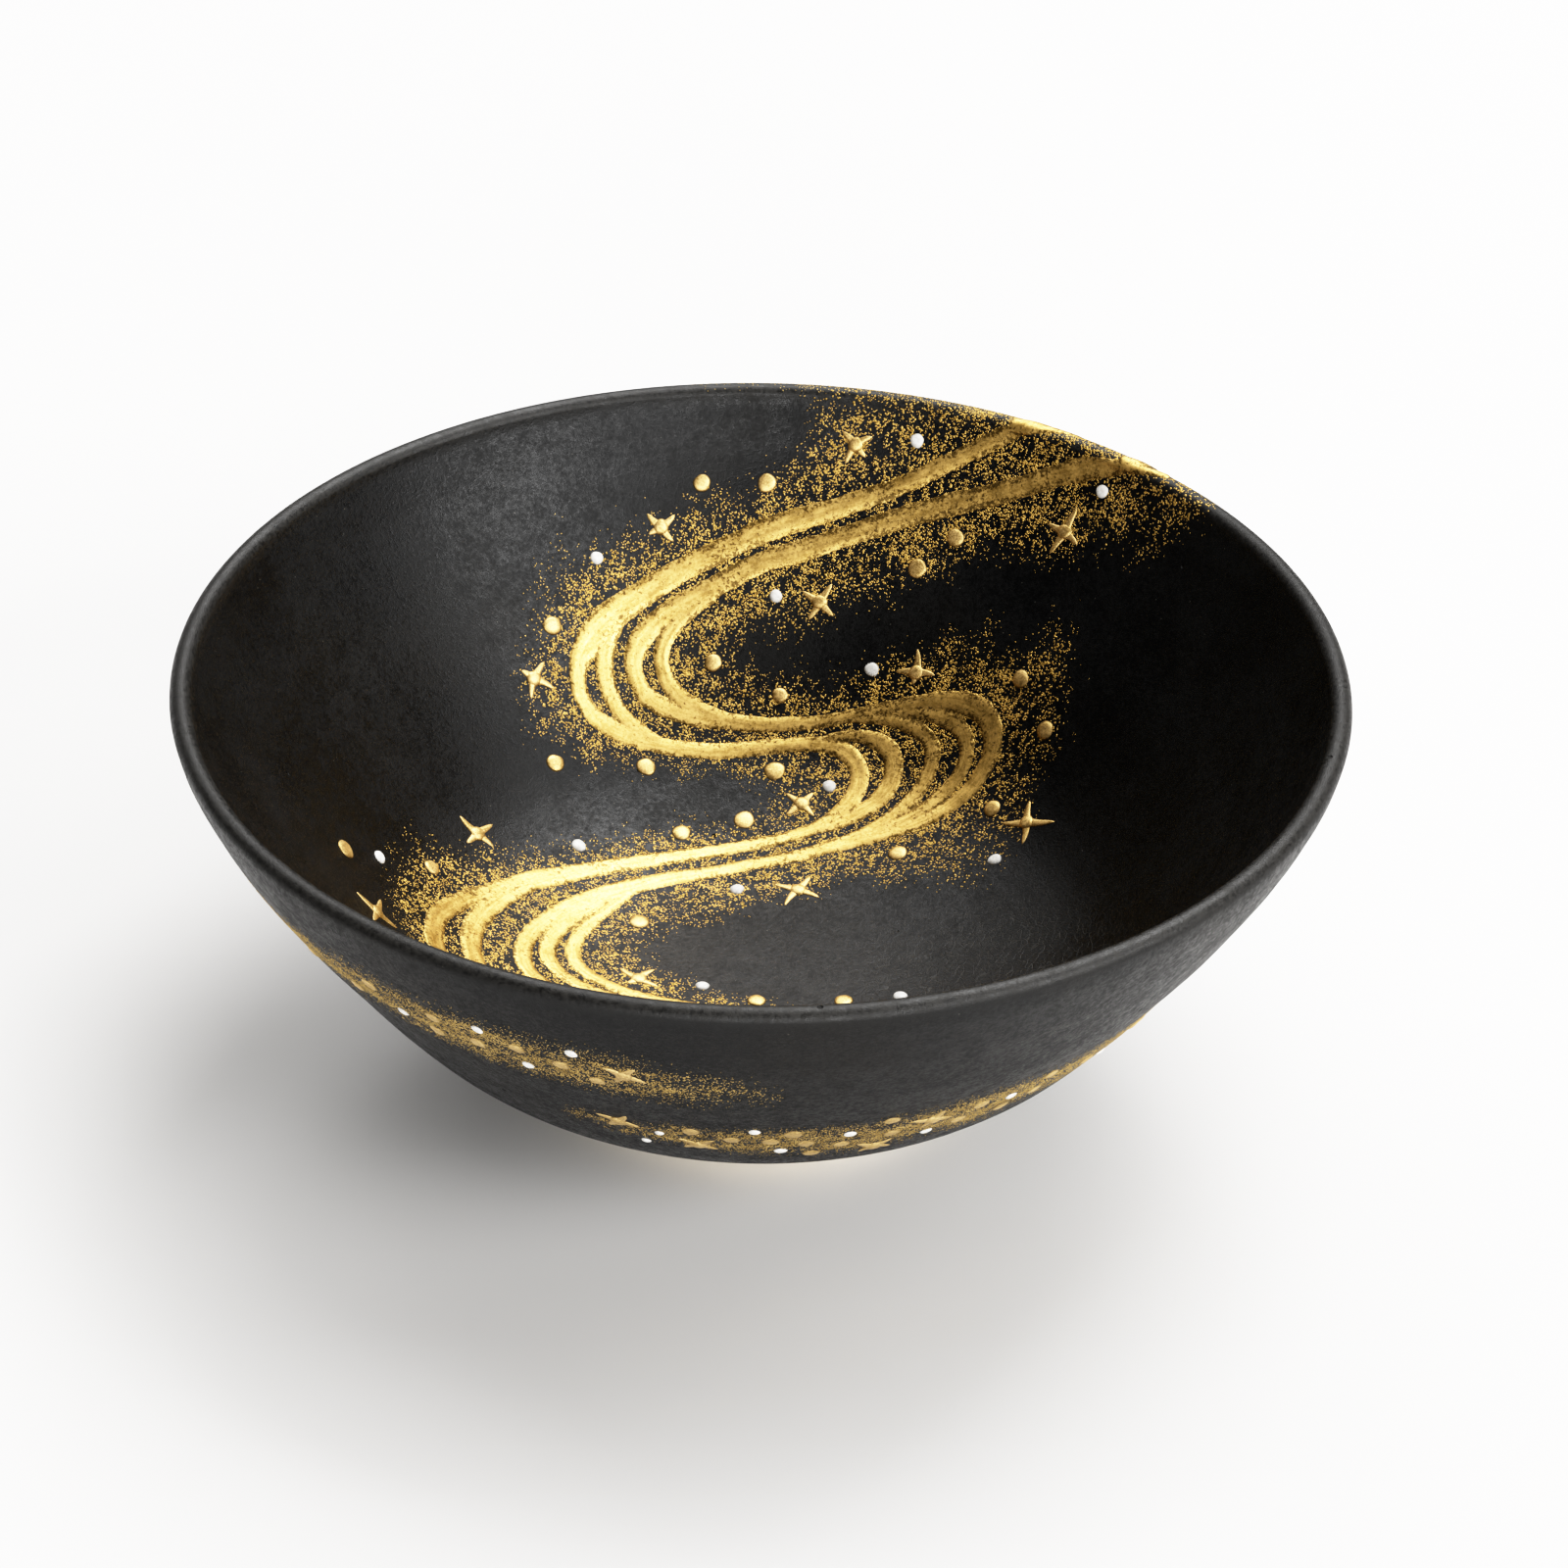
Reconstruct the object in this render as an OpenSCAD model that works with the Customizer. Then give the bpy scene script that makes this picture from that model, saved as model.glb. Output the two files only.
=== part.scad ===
// Wide, shallow tea bowl: thrown stoneware, matte black glaze, raised gold and white enamel.
// Millimetres, +Z up. The foot stands on Z = 0 and the bowl's axis is the Z axis; -Y is the front.
// A gold stream in two courses runs over the lip at the back right and meanders across the inside.

/* [Bowl] */
// Outside diameter over the lip
rim_d = 150; // [120:1:190]
// Height from the table to the top of the lip
bowl_h = 60; // [46:1:78]
// Outside diameter of the foot ring where the glaze stops
foot_d = 54; // [40:1:70]
// Height of the bare clay foot ring
foot_h = 5; // [3:0.5:9]
// Width of the foot ring
foot_w = 5; // [3:0.5:8]
// Depth of the shallow hollow turned under the foot
foot_recess = 3.5; // [1:0.25:4]

/* [Wall] */
// Thickness of the lip, glaze included
lip_t = 2.8; // [2:0.1:5]
// Thickness of the wall where it leaves the floor, glaze included
belly_t = 4.8; // [3.2:0.1:8]
// Height of the inside floor at its centre
floor_z = 9.6; // [8:0.1:14]
// Thickness of the glaze skin
glaze_t = 0.4; // [0.25:0.05:0.8]

/* [Gold and white relief] */
// How far the gold stream stands above the glaze
stream_relief = 0.3; // [0.25:0.05:0.6]
// Diameter of an ordinary gold dot
gold_dot_d = 2.6; // [1.8:0.1:3.2]
// Height of a gold dot above the glaze
gold_dot_h = 0.62; // [0.4:0.02:1.2]
// Diameter of a white dot
white_dot_d = 1.9; // [1.2:0.1:2.4]
// Height of a white dot above the glaze
white_dot_h = 0.56; // [0.4:0.02:1]
// Diameter of the dome in the middle of a star
star_dome_d = 2.6; // [1.8:0.1:3.2]
// Height of the star dome above the glaze
star_dome_h = 0.68; // [0.4:0.02:1.2]
// Height of the star rays above the glaze
star_ray_h = 0.35; // [0.3:0.05:0.6]

/* [Hidden] */
// sides of a circle where facets show: the big rounds of the bowl, and the small drops of enamel
BOWL_FN = 256;
$fn = 48;

rim_r = rim_d/2;
foot_r = foot_d/2;
lip_r = lip_t/2;
lip_z = bowl_h - lip_r;
// scale of the painted design with the bowl: across, and up the wall
kx = rim_d/150;
kz = bowl_h/60;

// ---- curves ----
function cr(a, b, c, d, t) =
  0.5*(2*b + (c - a)*t + (2*a - 5*b + 4*c - d)*t*t + (3*b - a - 3*c + d)*t*t*t);
function spline(P, n) = concat(
  [for (i = [0:len(P) - 2])
    let (a = i > 0 ? P[i - 1] : 2*P[0] - P[1],
         d = i + 2 < len(P) ? P[i + 2] : 2*P[i + 1] - P[i])
    for (k = [0:n - 1]) cr(a, P[i], P[i + 1], d, k/n)],
  [P[len(P) - 1]]);
function unit(v) = v/norm(v);
function tangent(P, i) = unit(
  i == 0 ? P[1] - P[0] : i == len(P) - 1 ? P[i] - P[i - 1] : P[i + 1] - P[i - 1]);
function left_of(t) = [-t[1], t[0]];
function shift(P, d) = [for (i = [0:len(P) - 1]) P[i] + d*left_of(tangent(P, i))];
function reversed(P) = [for (i = [len(P) - 1:-1:0]) P[i]];

// ---- wall section, [radius, height] ----
// how far out and up the outside curve has gone between the foot (0) and the lip (1)
OUT_U = [0, 0.145, 0.305, 0.475, 0.6, 0.717, 0.827, 0.921, 0.983, 1];
OUT_V = [0, 0.067, 0.142, 0.261, 0.396, 0.541, 0.683, 0.825, 0.944, 1];
OUT_C = [for (i = [0:9]) [foot_r + (rim_r - foot_r)*OUT_U[i], foot_h + (lip_z - foot_h)*OUT_V[i]]];
outer_c = spline(OUT_C, 3);
// the wall thins evenly from the belly to the lip
WALL_C = [for (i = [9:-1:2])
  let (s = (i - 2)/7, t = i == 9 ? [0, 1] : tangent(OUT_C, i))
  OUT_C[i] + (belly_t + (lip_t - belly_t)*s)*left_of(t)];
FLOOR_C = [[0.36*rim_r, floor_z + 2.4*kz], [0.213*rim_r, floor_z + 0.6], [0, floor_z]];
inner_c = spline(concat(WALL_C, FLOOR_C), 3);
LIP_N = 10;
function lip_arc(r) = [for (i = [1:LIP_N - 1])
  [rim_r - lip_r + r*cos(180*i/LIP_N), lip_z + r*sin(180*i/LIP_N)]];
// the whole glazed surface, from the foot line outside, over the lip, to the middle of the floor
skin = concat(outer_c, lip_arc(lip_r), inner_c);
N_OUT = len(outer_c);
N_SKIN = len(skin);
// the same line moved d into the wall (positive) or out of it (negative)
function moved(d) = concat(
  [for (i = [0:N_OUT - 1]) i == N_OUT - 1 ? [rim_r - d, lip_z]
    : outer_c[i] + d*left_of(tangent(outer_c, i))],
  lip_arc(lip_r - d),
  [for (i = [0:len(inner_c) - 1]) i == 0 ? [rim_r - lip_t + d, lip_z]
    : i == len(inner_c) - 1 ? [0, floor_z - d]
    : inner_c[i] + d*left_of(tangent(inner_c, i))]);
clay_line = moved(glaze_t);
relief_line = moved(-stream_relief);

module clay_body() {
  color([0.86, 0.79, 0.66])
    rotate_extrude($fn = BOWL_FN)
      polygon(concat(
        [[0, foot_recess], [foot_r - foot_w - 0.6, foot_recess], [foot_r - foot_w, foot_recess - 0.6],
         [foot_r - foot_w + 0.4, 0], [foot_r - 1.4, 0], [foot_r - 0.7, 0.6], [foot_r, foot_h]],
        clay_line));
}

module black_glaze() {
  color([0.07, 0.07, 0.075])
    rotate_extrude($fn = BOWL_FN)
      polygon(concat(skin, reversed(clay_line)));
}

// what lies under the glaze inside and outside; drops and rays are cut to sit on it
module under_inside() {
  rotate_extrude($fn = BOWL_FN)
    polygon(concat([[0, 0], [rim_r - lip_t, 0]], inner_c));
}
module under_outside() {
  rotate_extrude($fn = BOWL_FN)
    polygon(concat([[0, foot_h]], outer_c, [[0, lip_z]]));
}

// ---- gold stream ----
// relief skin over the inside and the lip
module relief_inside() {
  rotate_extrude($fn = BOWL_FN)
    polygon(concat(
      [for (i = [N_OUT - 1:N_SKIN - 1]) skin[i]],
      [for (i = [N_SKIN - 1:-1:N_OUT - 1]) relief_line[i]]));
}
// relief skin from the top of the lip down the outside
module relief_outside() {
  top = N_OUT - 1 + LIP_N/2;
  rotate_extrude($fn = BOWL_FN)
    polygon(concat(
      [for (i = [0:top]) skin[i]],
      [for (i = [top:-1:0]) relief_line[i]]));
}
// outline of a brush stroke from points [x, y, width]
function stroke(P, n) =
  let (S = spline(P, n), Q = [for (p = S) [p[0], p[1]]], m = len(S) - 1)
  concat(
    [for (i = [0:m]) Q[i] + max(0.15, S[i][2]/2)*left_of(tangent(Q, i))],
    [for (i = [m:-1:0]) Q[i] - max(0.15, S[i][2]/2)*left_of(tangent(Q, i))]);
module plan_strokes(L) {
  linear_extrude(height = bowl_h + 5)
    union() {
      for (P = L) polygon(stroke(kx*P, 3));
    }
}
// a stroke drawn on the outside wall, [along, up, width], facing azimuth 52
TAIL_AZ = 52;
module wall_stroke(P) {
  rotate([0, 0, TAIL_AZ])
    translate([0.55*rim_r, 0, 0])
      rotate([90, 0, 90])
        linear_extrude(height = 0.5*rim_r)
          polygon(stroke([for (p = P) [p[0]*kx, p[1]*kz, p[2]*kx]], 3));
}

// upper course: over the lip, left bend, right bend, lower left bend, away across the floor
UPPER = [
  [[44, 61.8, 1.6], [40, 62.9, 1.8], [35, 63.7, 1.6], [30, 64.25, 1.4], [24, 64.6, 1.5],
   [17, 64.5, 1.6], [10, 64.2, 1.8], [4, 63.6, 2], [-1, 62.6, 2.1], [-6, 61, 2.1],
   [-11, 58.9, 2.2], [-16, 56.2, 2.4], [-20, 53.5, 2.8], [-23, 50.8, 3.2], [-25, 48.2, 2.6],
   [-25.5, 46, 2.4], [-25, 44.2, 2.4], [-23.3, 42.9, 2.3], [-20.5, 42.2, 2.2], [-16, 42, 2],
   [-10, 42.1, 2], [-5, 42.5, 2], [0, 43.1, 1.9], [5, 43.4, 1.7], [9, 43, 1.8],
   [12, 41.7, 2.3], [13.6, 39.5, 2.6], [13.6, 37.2, 2.8], [12.4, 35, 2.6], [10.3, 33, 2.4],
   [7.5, 31.4, 2.1], [4, 30.2, 1.9], [0, 29.1, 2], [-5, 27.8, 2.1], [-10, 26.4, 2.2],
   [-15, 24.7, 2.3], [-20, 22.6, 2.4], [-25, 20, 2.8], [-30, 16.8, 3.2], [-34, 13.5, 2.8],
   [-37.6, 10, 2.6], [-40.2, 6.5, 2.6], [-42, 3, 2.6], [-42.6, 0, 2.6], [-42.3, -4, 2.6],
   [-40.4, -8, 2.5], [-37, -11.2, 2.4], [-31.5, -13.2, 2.4], [-24, -13.8, 2.3],
   [-14, -14, 2.2], [-4, -14.8, 2.1], [6, -16.4, 2], [15, -19.4, 1.9], [23, -24, 1.7],
   [29, -30.5, 1.4], [33, -38, 1], [35, -45, 0.4]],
  [[-18.5, 54.1, 1], [-20.3, 52, 1.3], [-21.2, 50, 1.5], [-21.3, 48, 1.6], [-20.4, 45.8, 1.6],
   [-18.5, 44, 1.5], [-15.5, 42.8, 1.2], [-12, 42.3, 0.8]],
  [[6, 43.4, 1], [10, 43.7, 1.2], [13.2, 43.5, 1.4], [16, 42.5, 1.9], [18, 40.8, 2.4],
   [18.5, 38.9, 2.7], [18.1, 37, 2.8], [16.7, 35.2, 2.7], [14.4, 33.6, 2.5],
   [11.6, 32.3, 2.2], [8, 31.3, 1.6]],
  [[-28.5, 17.3, 1.4], [-31.5, 14.8, 2.2], [-34.2, 11.6, 2.8], [-36.3, 8, 3],
   [-37.5, 4.3, 3.1], [-37.9, 0.6, 3], [-37.4, -2.8, 2.8], [-35.6, -6.2, 2.5],
   [-32.6, -9.4, 2.2], [-28.4, -11.8, 1.8], [-23, -13.2, 1.2]]];
UPPER_TAIL = [[12, 62, 2.4], [7, 58.8, 2.4], [0.5, 55.4, 2.2], [-6.5, 51.8, 1.9],
  [-13.5, 48, 1.3], [-19, 45, 0.5]];

// lower course: the same path a little inside the first, with a third line in the lower bends
LOWER = [
  [[55, 50.6, 1.5], [50, 53.4, 1.7], [45, 55.9, 1.7], [40, 58, 1.7], [35, 59.4, 1.7],
   [30, 60.6, 1.8], [25, 61.5, 1.9], [20, 62, 1.9], [15, 62, 1.9], [10, 61.7, 1.9],
   [5, 61.1, 2], [0, 60.3, 2], [-5, 58.6, 2], [-9.5, 56.6, 2], [-13, 54.9, 2],
   [-16, 52.7, 2.2], [-17.7, 50.5, 2.5], [-17.8, 48.8, 2.5], [-16.5, 47.1, 2.4],
   [-13.8, 46.2, 2.2], [-9.5, 45.9, 2.1], [-5, 45.9, 1.9], [0, 45.7, 1.7], [5, 45.7, 1.6],
   [10, 45.7, 1.4], [15, 45.8, 1.4], [20, 45.3, 1.5], [24, 44.5, 1.7], [27.5, 43.2, 2],
   [30.3, 41.2, 2.3], [31.7, 39, 2.5], [31.9, 36.8, 2.6], [30.9, 34.7, 2.5],
   [28.7, 32.8, 2.3], [25.3, 31.2, 2.2], [21, 30, 2.2], [16, 29.2, 2.2], [10, 28.2, 2.1],
   [5, 26.95, 2.1], [0, 25.8, 2], [-5, 24.2, 2.1], [-10, 22.7, 2.3], [-15, 20.7, 2.6],
   [-19.2, 18.3, 3], [-22.6, 15.9, 3], [-25.6, 13.2, 2.8], [-28, 10.2, 2.6], [-29.9, 7, 2.5],
   [-31, 3.6, 2.5], [-31.1, 0.4, 2.5], [-29.9, -2.4, 2.4], [-26.6, -4.8, 2.2],
   [-21.5, -6.3, 1.8], [-15, -7, 1.2], [-9, -7.2, 0.6]],
  [[-7, 56.9, 1], [-9.8, 55.6, 1.4], [-12.3, 53.8, 1.8], [-13.8, 51.8, 2.1], [-13.9, 50, 2.2],
   [-12.8, 48.4, 2.2], [-10.5, 47.2, 2.1], [-7.2, 46.5, 1.7], [-3, 46, 1.1]],
  [[12, 45.6, 1], [16, 44.9, 1.2], [19.6, 43.6, 1.5], [22.3, 41.8, 1.8], [23.7, 39.8, 2.1],
   [23.6, 37.8, 2.2], [22.5, 35.7, 2.3], [20.5, 33.6, 2.3], [17.7, 31.7, 2], [14, 30, 1.6],
   [9, 28.6, 1]],
  [[16, 45.6, 1], [20.5, 44.5, 1.2], [24.4, 42.9, 1.5], [27.3, 40.8, 1.8], [28.4, 38.6, 2],
   [28.2, 36.6, 2.1], [26.9, 34.8, 2.1], [24.4, 33.1, 2.1], [21, 31.4, 2], [16, 29.8, 1.6]],
  [[-20.5, 16.8, 1.6], [-23.8, 12.9, 2.1], [-26.3, 9, 2.4], [-27.8, 5.3, 2.5],
   [-27.7, 2, 2.4], [-26, -0.7, 2.2], [-22.6, -2.9, 2.1], [-17.8, -4.6, 1.9],
   [-12, -5.6, 1.6], [-5, -6.6, 1.2]],
  [[-17.5, 18.4, 1.6], [-20.3, 14.6, 1.9], [-22.6, 11, 2.1], [-24.3, 7.3, 2.2],
   [-24.6, 3.9, 2.2], [-23.2, 1, 2.1], [-20, -1.4, 2], [-15.2, -3.4, 1.9], [-9, -5, 1.9],
   [-2, -6.5, 1.9], [6, -8.2, 1.9], [14, -10.8, 1.9], [22, -14.8, 1.8], [29, -20.4, 1.6],
   [34.5, -27.5, 1.3], [38, -35, 0.9], [39.5, -42, 0.4]]];
LOWER_TAIL = [[-5.5, 61.5, 2.2], [-10.5, 58.4, 2.2], [-16.5, 55, 2], [-22.5, 51.6, 1.6],
  [-28.5, 48.4, 1], [-33, 46, 0.4]];

module gold_stream_upper_course() {
  color([0.83, 0.66, 0.3])
    union() {
      intersection() {
        relief_inside();
        plan_strokes(UPPER);
      }
      intersection() {
        relief_outside();
        wall_stroke(UPPER_TAIL);
      }
    }
}

module gold_stream_lower_course() {
  color([0.83, 0.66, 0.3])
    union() {
      intersection() {
        relief_inside();
        plan_strokes(LOWER);
      }
      intersection() {
        relief_outside();
        wall_stroke(LOWER_TAIL);
      }
    }
}

// ---- placing dots and stars on the glaze ----
in_z = [for (i = [len(inner_c) - 1:-1:0]) inner_c[i]];
out_r = [for (p = outer_c) [p[1], p[0]]];
function slope_in(r) = atan2(lookup(r + 0.5, in_z) - lookup(max(0, r - 0.5), in_z),
                             r < 0.5 ? 100 : 1);
function slope_out(z) = atan2(1, lookup(z + 0.5, out_r) - lookup(z - 0.5, out_r));
module at_inside(x, y) {
  r = norm([x, y]);
  translate([x, y, lookup(r, in_z)])
    rotate([0, 0, atan2(y, x)])
      rotate([0, -slope_in(r), 0])
        children();
}
module at_outside(az, z) {
  rotate([0, 0, az])
    translate([lookup(z, out_r), 0, z])
      rotate([0, 180 - slope_out(z), 0])
        children();
}
// a round drop of enamel: the cap of a ball of diameter d where it meets the glaze and height h,
// carried on a little below the glaze, where the bowl cuts it away
module drop(d, h) {
  R = (d*d/4 + h*h)/(2*h);
  low = min(85, asin(min(1, d/(2*R))) + 12);
  rotate_extrude()
    polygon(concat(
      [[0, -0.8], [R*sin(low), -0.8]],
      [for (i = [0:5]) [R*sin(low*(1 - i/6)), h - R + R*cos(low*(1 - i/6))]],
      [[0, h]]));
}
// one tapering ray, from the dome to its tip
module ray(tip) {
  L = norm(tip);
  rotate([0, 0, atan2(tip[1], tip[0])])
    translate([0, 0, -0.7])
      linear_extrude(height = star_ray_h + 0.7)
        polygon([[0, -0.8], [1.3, -0.5], [0.6*L + 0.5, -0.3], [L - 0.15, -0.22], [L, 0],
                 [L - 0.15, 0.22], [0.6*L + 0.5, 0.3], [1.3, 0.5], [0, 0.8]]);
}
module star(tips) {
  union() {
    drop(star_dome_d, star_dome_h);
    for (t = tips) ray(t);
  }
}

// [x, y, size against the ordinary dot]
GOLD_IN = [
  [-8.8, 66.1, 1], [0.3, 66.6, 1.05], [-29.1, 49.2, 1], [-28.2, 35.6, 1.05], [-15.8, 39, 1.02],
  [2, 40.2, 1.15], [-6.8, 51.3, 1], [2.6, 48.7, 0.9], [21.4, 57.3, 1.1], [26.6, 58.5, 0.95],
  [35.6, 41.9, 1], [38.8, 34.7, 1], [31.8, 29, 1], [-10.7, 30.1, 1], [-2.1, 32.9, 1.15],
  [19, 25.9, 1], [-43.6, 10.6, 0.95], [-53.9, 0.1, 1.15], [-16, 12.9, 1.05], [0, -3.3, 0.95],
  [11.5, -3.5, 1], [5, -24, 1], [-12, -22, 1.05], [30, -12, 1], [46, -22, 1], [24, -38, 1.05],
  [44, -38, 0.95], [-30, -22, 1], [-51, -16, 1.05]];
WHITE_IN = [
  [21.1, 67.2, 1], [46.2, 53.4, 1], [-23.2, 57.3, 1], [1.8, 57.4, 1], [15.3, 49.7, 1],
  [9.6, 37.7, 1], [-24.6, 24.9, 1.05], [-50, 4.9, 1.1], [-2.9, 20.8, 1], [32, 20.9, 1],
  [-7.2, -0.4, 1], [19, -3, 1], [10, -21, 1], [-21, -20, 1], [36, -16, 1], [37, -44, 1],
  [-46, -12, 1]];
// x, y, then the four ray tips as offsets seen from above
STARS_IN = [
  [12.6, 68.5, [-1.9, 1.1], [2.3, 0.2], [1.4, -1], [-1.4, -1.1]],
  [-14.4, 61.9, [-2, 0.7], [1.9, 1.3], [-1.7, -0.9], [1.8, -0.9]],
  [-31.4, 43.2, [-1.7, 0], [-0.3, -2.2], [1.4, 2.3], [2.9, 0.2]],
  [7.9, 56.6, [-2.4, 1.1], [1.7, 1.4], [2, -1.4], [-1.5, -1.4]],
  [21.4, 48, [0.2, 2.1], [2.6, -1], [-2.8, 0.8], [-0.4, -1]],
  [41.3, 53, [-2.2, 1.8], [1.7, -2], [-2, -0.9], [1.6, 1.1]],
  [-38.1, 20.6, [-2.4, 1], [1.9, 2.6], [2.2, -0.8], [-1.3, -2.4]],
  [5.8, 35.4, [-2.2, 1.6], [1.6, 1.5], [1.7, -2], [-2, -1.7]],
  [36.3, 24.7, [-3.2, 1.6], [0.5, 2.8], [3.7, -2.2], [-0.6, -3]],
  [5.4, 20.8, [-3.3, 1.1], [1.7, 2.5], [2.9, -1.6], [-1.8, -3.2]],
  [-49.4, -7, [0.1, 3.6], [-2.6, -0.2], [2.5, 0.3], [-0.2, -3.2]],
  [-15.7, 0.5, [-2.6, 2], [2.1, 2.3], [2.6, -1.5], [-1.5, -1.3]],
  [-4, -22, [-2.6, 1.4], [1.4, 2.8], [2.8, -1.6], [-1.2, -2.8]],
  [40, -27, [-1.6, 2], [1.8, 2.4], [2, -2.2], [-1.6, -2]]];
// [azimuth, height, size]
GOLD_OUT = [
  [-131.5, 47, 1], [-135.5, 43.2, 1], [-123.5, 46.4, 1], [-124.5, 42.6, 1], [-119, 44, 1],
  [-114, 46, 1], [-109.6, 44.6, 1], [-106.2, 42.2, 0.9], [-97.6, 29.8, 1], [-92.8, 28, 1],
  [-88, 27.6, 1], [-85.4, 29.9, 1.1], [-83.6, 26.6, 1], [-82.5, 22.8, 1], [-78.9, 25.4, 1],
  [-73.8, 31.4, 1], [-72.8, 27, 1], [-63.6, 26.4, 1], [-61.7, 29.6, 1], [-56.9, 25.6, 1],
  [-52.4, 31.2, 1], [-52.8, 27.4, 1], [-45, 29, 1], [-37, 31.5, 1], [-26, 30.5, 1],
  [-19, 35, 1.05], [-8, 35.5, 1], [5, 39, 1], [15, 43.5, 1], [24, 39.5, 1], [28, 49, 1],
  [57, 46, 1.05], [72, 54, 1], [86, 51, 1], [103, 52, 1], [120, 49.5, 1], [138, 47.5, 1],
  [157, 46.5, 1], [172, 49, 1.05], [-170, 44, 1], [-144, 42.5, 1]];
WHITE_OUT = [
  [-128.6, 43.6, 1], [-117.8, 48, 1], [-107.8, 48.4, 1], [-113.8, 42, 1], [-101.6, 28.2, 0.8],
  [-104, 24.6, 0.8], [-90, 30.8, 1], [-86.6, 24.2, 1], [-78.4, 28.8, 1], [-67.4, 24.8, 1],
  [-57.2, 29, 1], [-41, 27.5, 1], [-30, 34.5, 1], [-13, 32.5, 1], [9, 44.5, 1], [33, 43.5, 1],
  [80, 56, 1], [111, 53.5, 1], [130, 52, 1], [150, 50.5, 1], [-177, 43, 1]];
// azimuth, height, then ray tips as [to the right, up the wall]
STARS_OUT = [
  [-103, 45, [-2.5, 1.5], [1.6, 2.4], [2.6, -1.4], [-1.4, -2.5]],
  [-106.4, 30, [-2.6, 1.2], [1.4, 2.4], [2.6, -1.2], [-1.6, -2.4]],
  [-97, 25.6, [-2.3, 1.8], [1.9, 2.1], [2.3, -1.7], [-2, -2]],
  [-68, 29, [-2.8, 0.8], [0.9, 2.6], [2.8, -0.8], [-0.8, -2.6]],
  [-74, 23, [-2.4, 1.6], [1.8, 1.9], [2.4, -1.4], [-1.6, -2.2]],
  [-33, 27, [-2.4, 1.6], [1.6, 2.2], [2.4, -1.6], [-1.8, -2.2]],
  [-3, 39.5, [-2.6, 1.2], [1.2, 2.6], [2.6, -1.2], [-1.2, -2.4]],
  [20, 47, [-2.2, 1.9], [2, 2.1], [2.3, -1.8], [-1.9, -2]],
  [94, 55, [-2.6, 0.8], [1.1, 1.8], [2.6, -0.9], [-1, -2.4]],
  [128, 46, [-2.3, 1.6], [1.8, 2.2], [2.4, -1.6], [-1.7, -2.2]],
  [164, 44, [-2.6, 1.1], [1.2, 2.5], [2.5, -1.3], [-1.3, -2.4]],
  [-162, 49.5, [-2.4, 1.7], [1.5, 2.4], [2.5, -1.5], [-1.6, -2.3]]];

module gold_dots_inside() {
  color([0.8, 0.62, 0.27])
    difference() {
      for (p = GOLD_IN) at_inside(kx*p[0], kx*p[1]) drop(gold_dot_d*p[2], gold_dot_h);
      under_inside();
    }
}

module gold_dots_outside() {
  color([0.8, 0.62, 0.27])
    difference() {
      for (p = GOLD_OUT) at_outside(p[0], kz*p[1]) drop(gold_dot_d*p[2], gold_dot_h);
      under_outside();
    }
}

module white_dots_inside() {
  color([0.93, 0.92, 0.88])
    difference() {
      for (p = WHITE_IN) at_inside(kx*p[0], kx*p[1]) drop(white_dot_d*p[2], white_dot_h);
      under_inside();
    }
}

module white_dots_outside() {
  color([0.93, 0.92, 0.88])
    difference() {
      for (p = WHITE_OUT) at_outside(p[0], kz*p[1]) drop(white_dot_d*p[2], white_dot_h);
      under_outside();
    }
}

// an offset seen from above, laid on the sloping inside wall: [up the slope, around]
function laid(x, y, t) =
  let (a = atan2(y, x), s = slope_in(norm([x, y])))
  [(t[0]*cos(a) + t[1]*sin(a))/cos(s), t[1]*cos(a) - t[0]*sin(a)];

module gold_stars_inside() {
  color([0.8, 0.62, 0.27])
    difference() {
      for (p = STARS_IN)
        at_inside(kx*p[0], kx*p[1])
          star([for (i = [2:5]) laid(kx*p[0], kx*p[1], p[i])]);
      under_inside();
    }
}

module gold_stars_outside() {
  color([0.8, 0.62, 0.27])
    difference() {
      for (p = STARS_OUT)
        at_outside(p[0], kz*p[1])
          star([for (i = [2:5]) [-p[i][1], p[i][0]]]);
      under_outside();
    }
}

clay_body();
black_glaze();
gold_stream_upper_course();
gold_stream_lower_course();
gold_dots_inside();
gold_dots_outside();
white_dots_inside();
white_dots_outside();
gold_stars_inside();
gold_stars_outside();
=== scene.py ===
import math

import bpy
import numpy as np
from mathutils import Matrix, Vector


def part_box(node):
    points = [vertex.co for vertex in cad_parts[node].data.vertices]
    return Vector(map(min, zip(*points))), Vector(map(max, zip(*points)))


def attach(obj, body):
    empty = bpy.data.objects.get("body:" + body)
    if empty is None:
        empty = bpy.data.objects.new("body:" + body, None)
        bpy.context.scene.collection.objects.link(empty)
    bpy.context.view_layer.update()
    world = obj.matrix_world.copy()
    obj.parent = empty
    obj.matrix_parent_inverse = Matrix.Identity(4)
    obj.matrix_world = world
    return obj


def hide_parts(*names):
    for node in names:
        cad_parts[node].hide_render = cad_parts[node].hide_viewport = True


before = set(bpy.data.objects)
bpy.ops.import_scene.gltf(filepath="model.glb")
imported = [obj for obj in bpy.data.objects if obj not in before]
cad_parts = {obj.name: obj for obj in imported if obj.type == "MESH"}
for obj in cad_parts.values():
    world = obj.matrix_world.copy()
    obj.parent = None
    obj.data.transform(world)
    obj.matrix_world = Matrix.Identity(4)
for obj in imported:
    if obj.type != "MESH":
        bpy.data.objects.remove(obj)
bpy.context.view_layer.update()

# Lengths below are in millimetres, in the CAD frame; meshes are scaled to metres as they are made.
MM = 0.001
TAU = 2*math.pi

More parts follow.
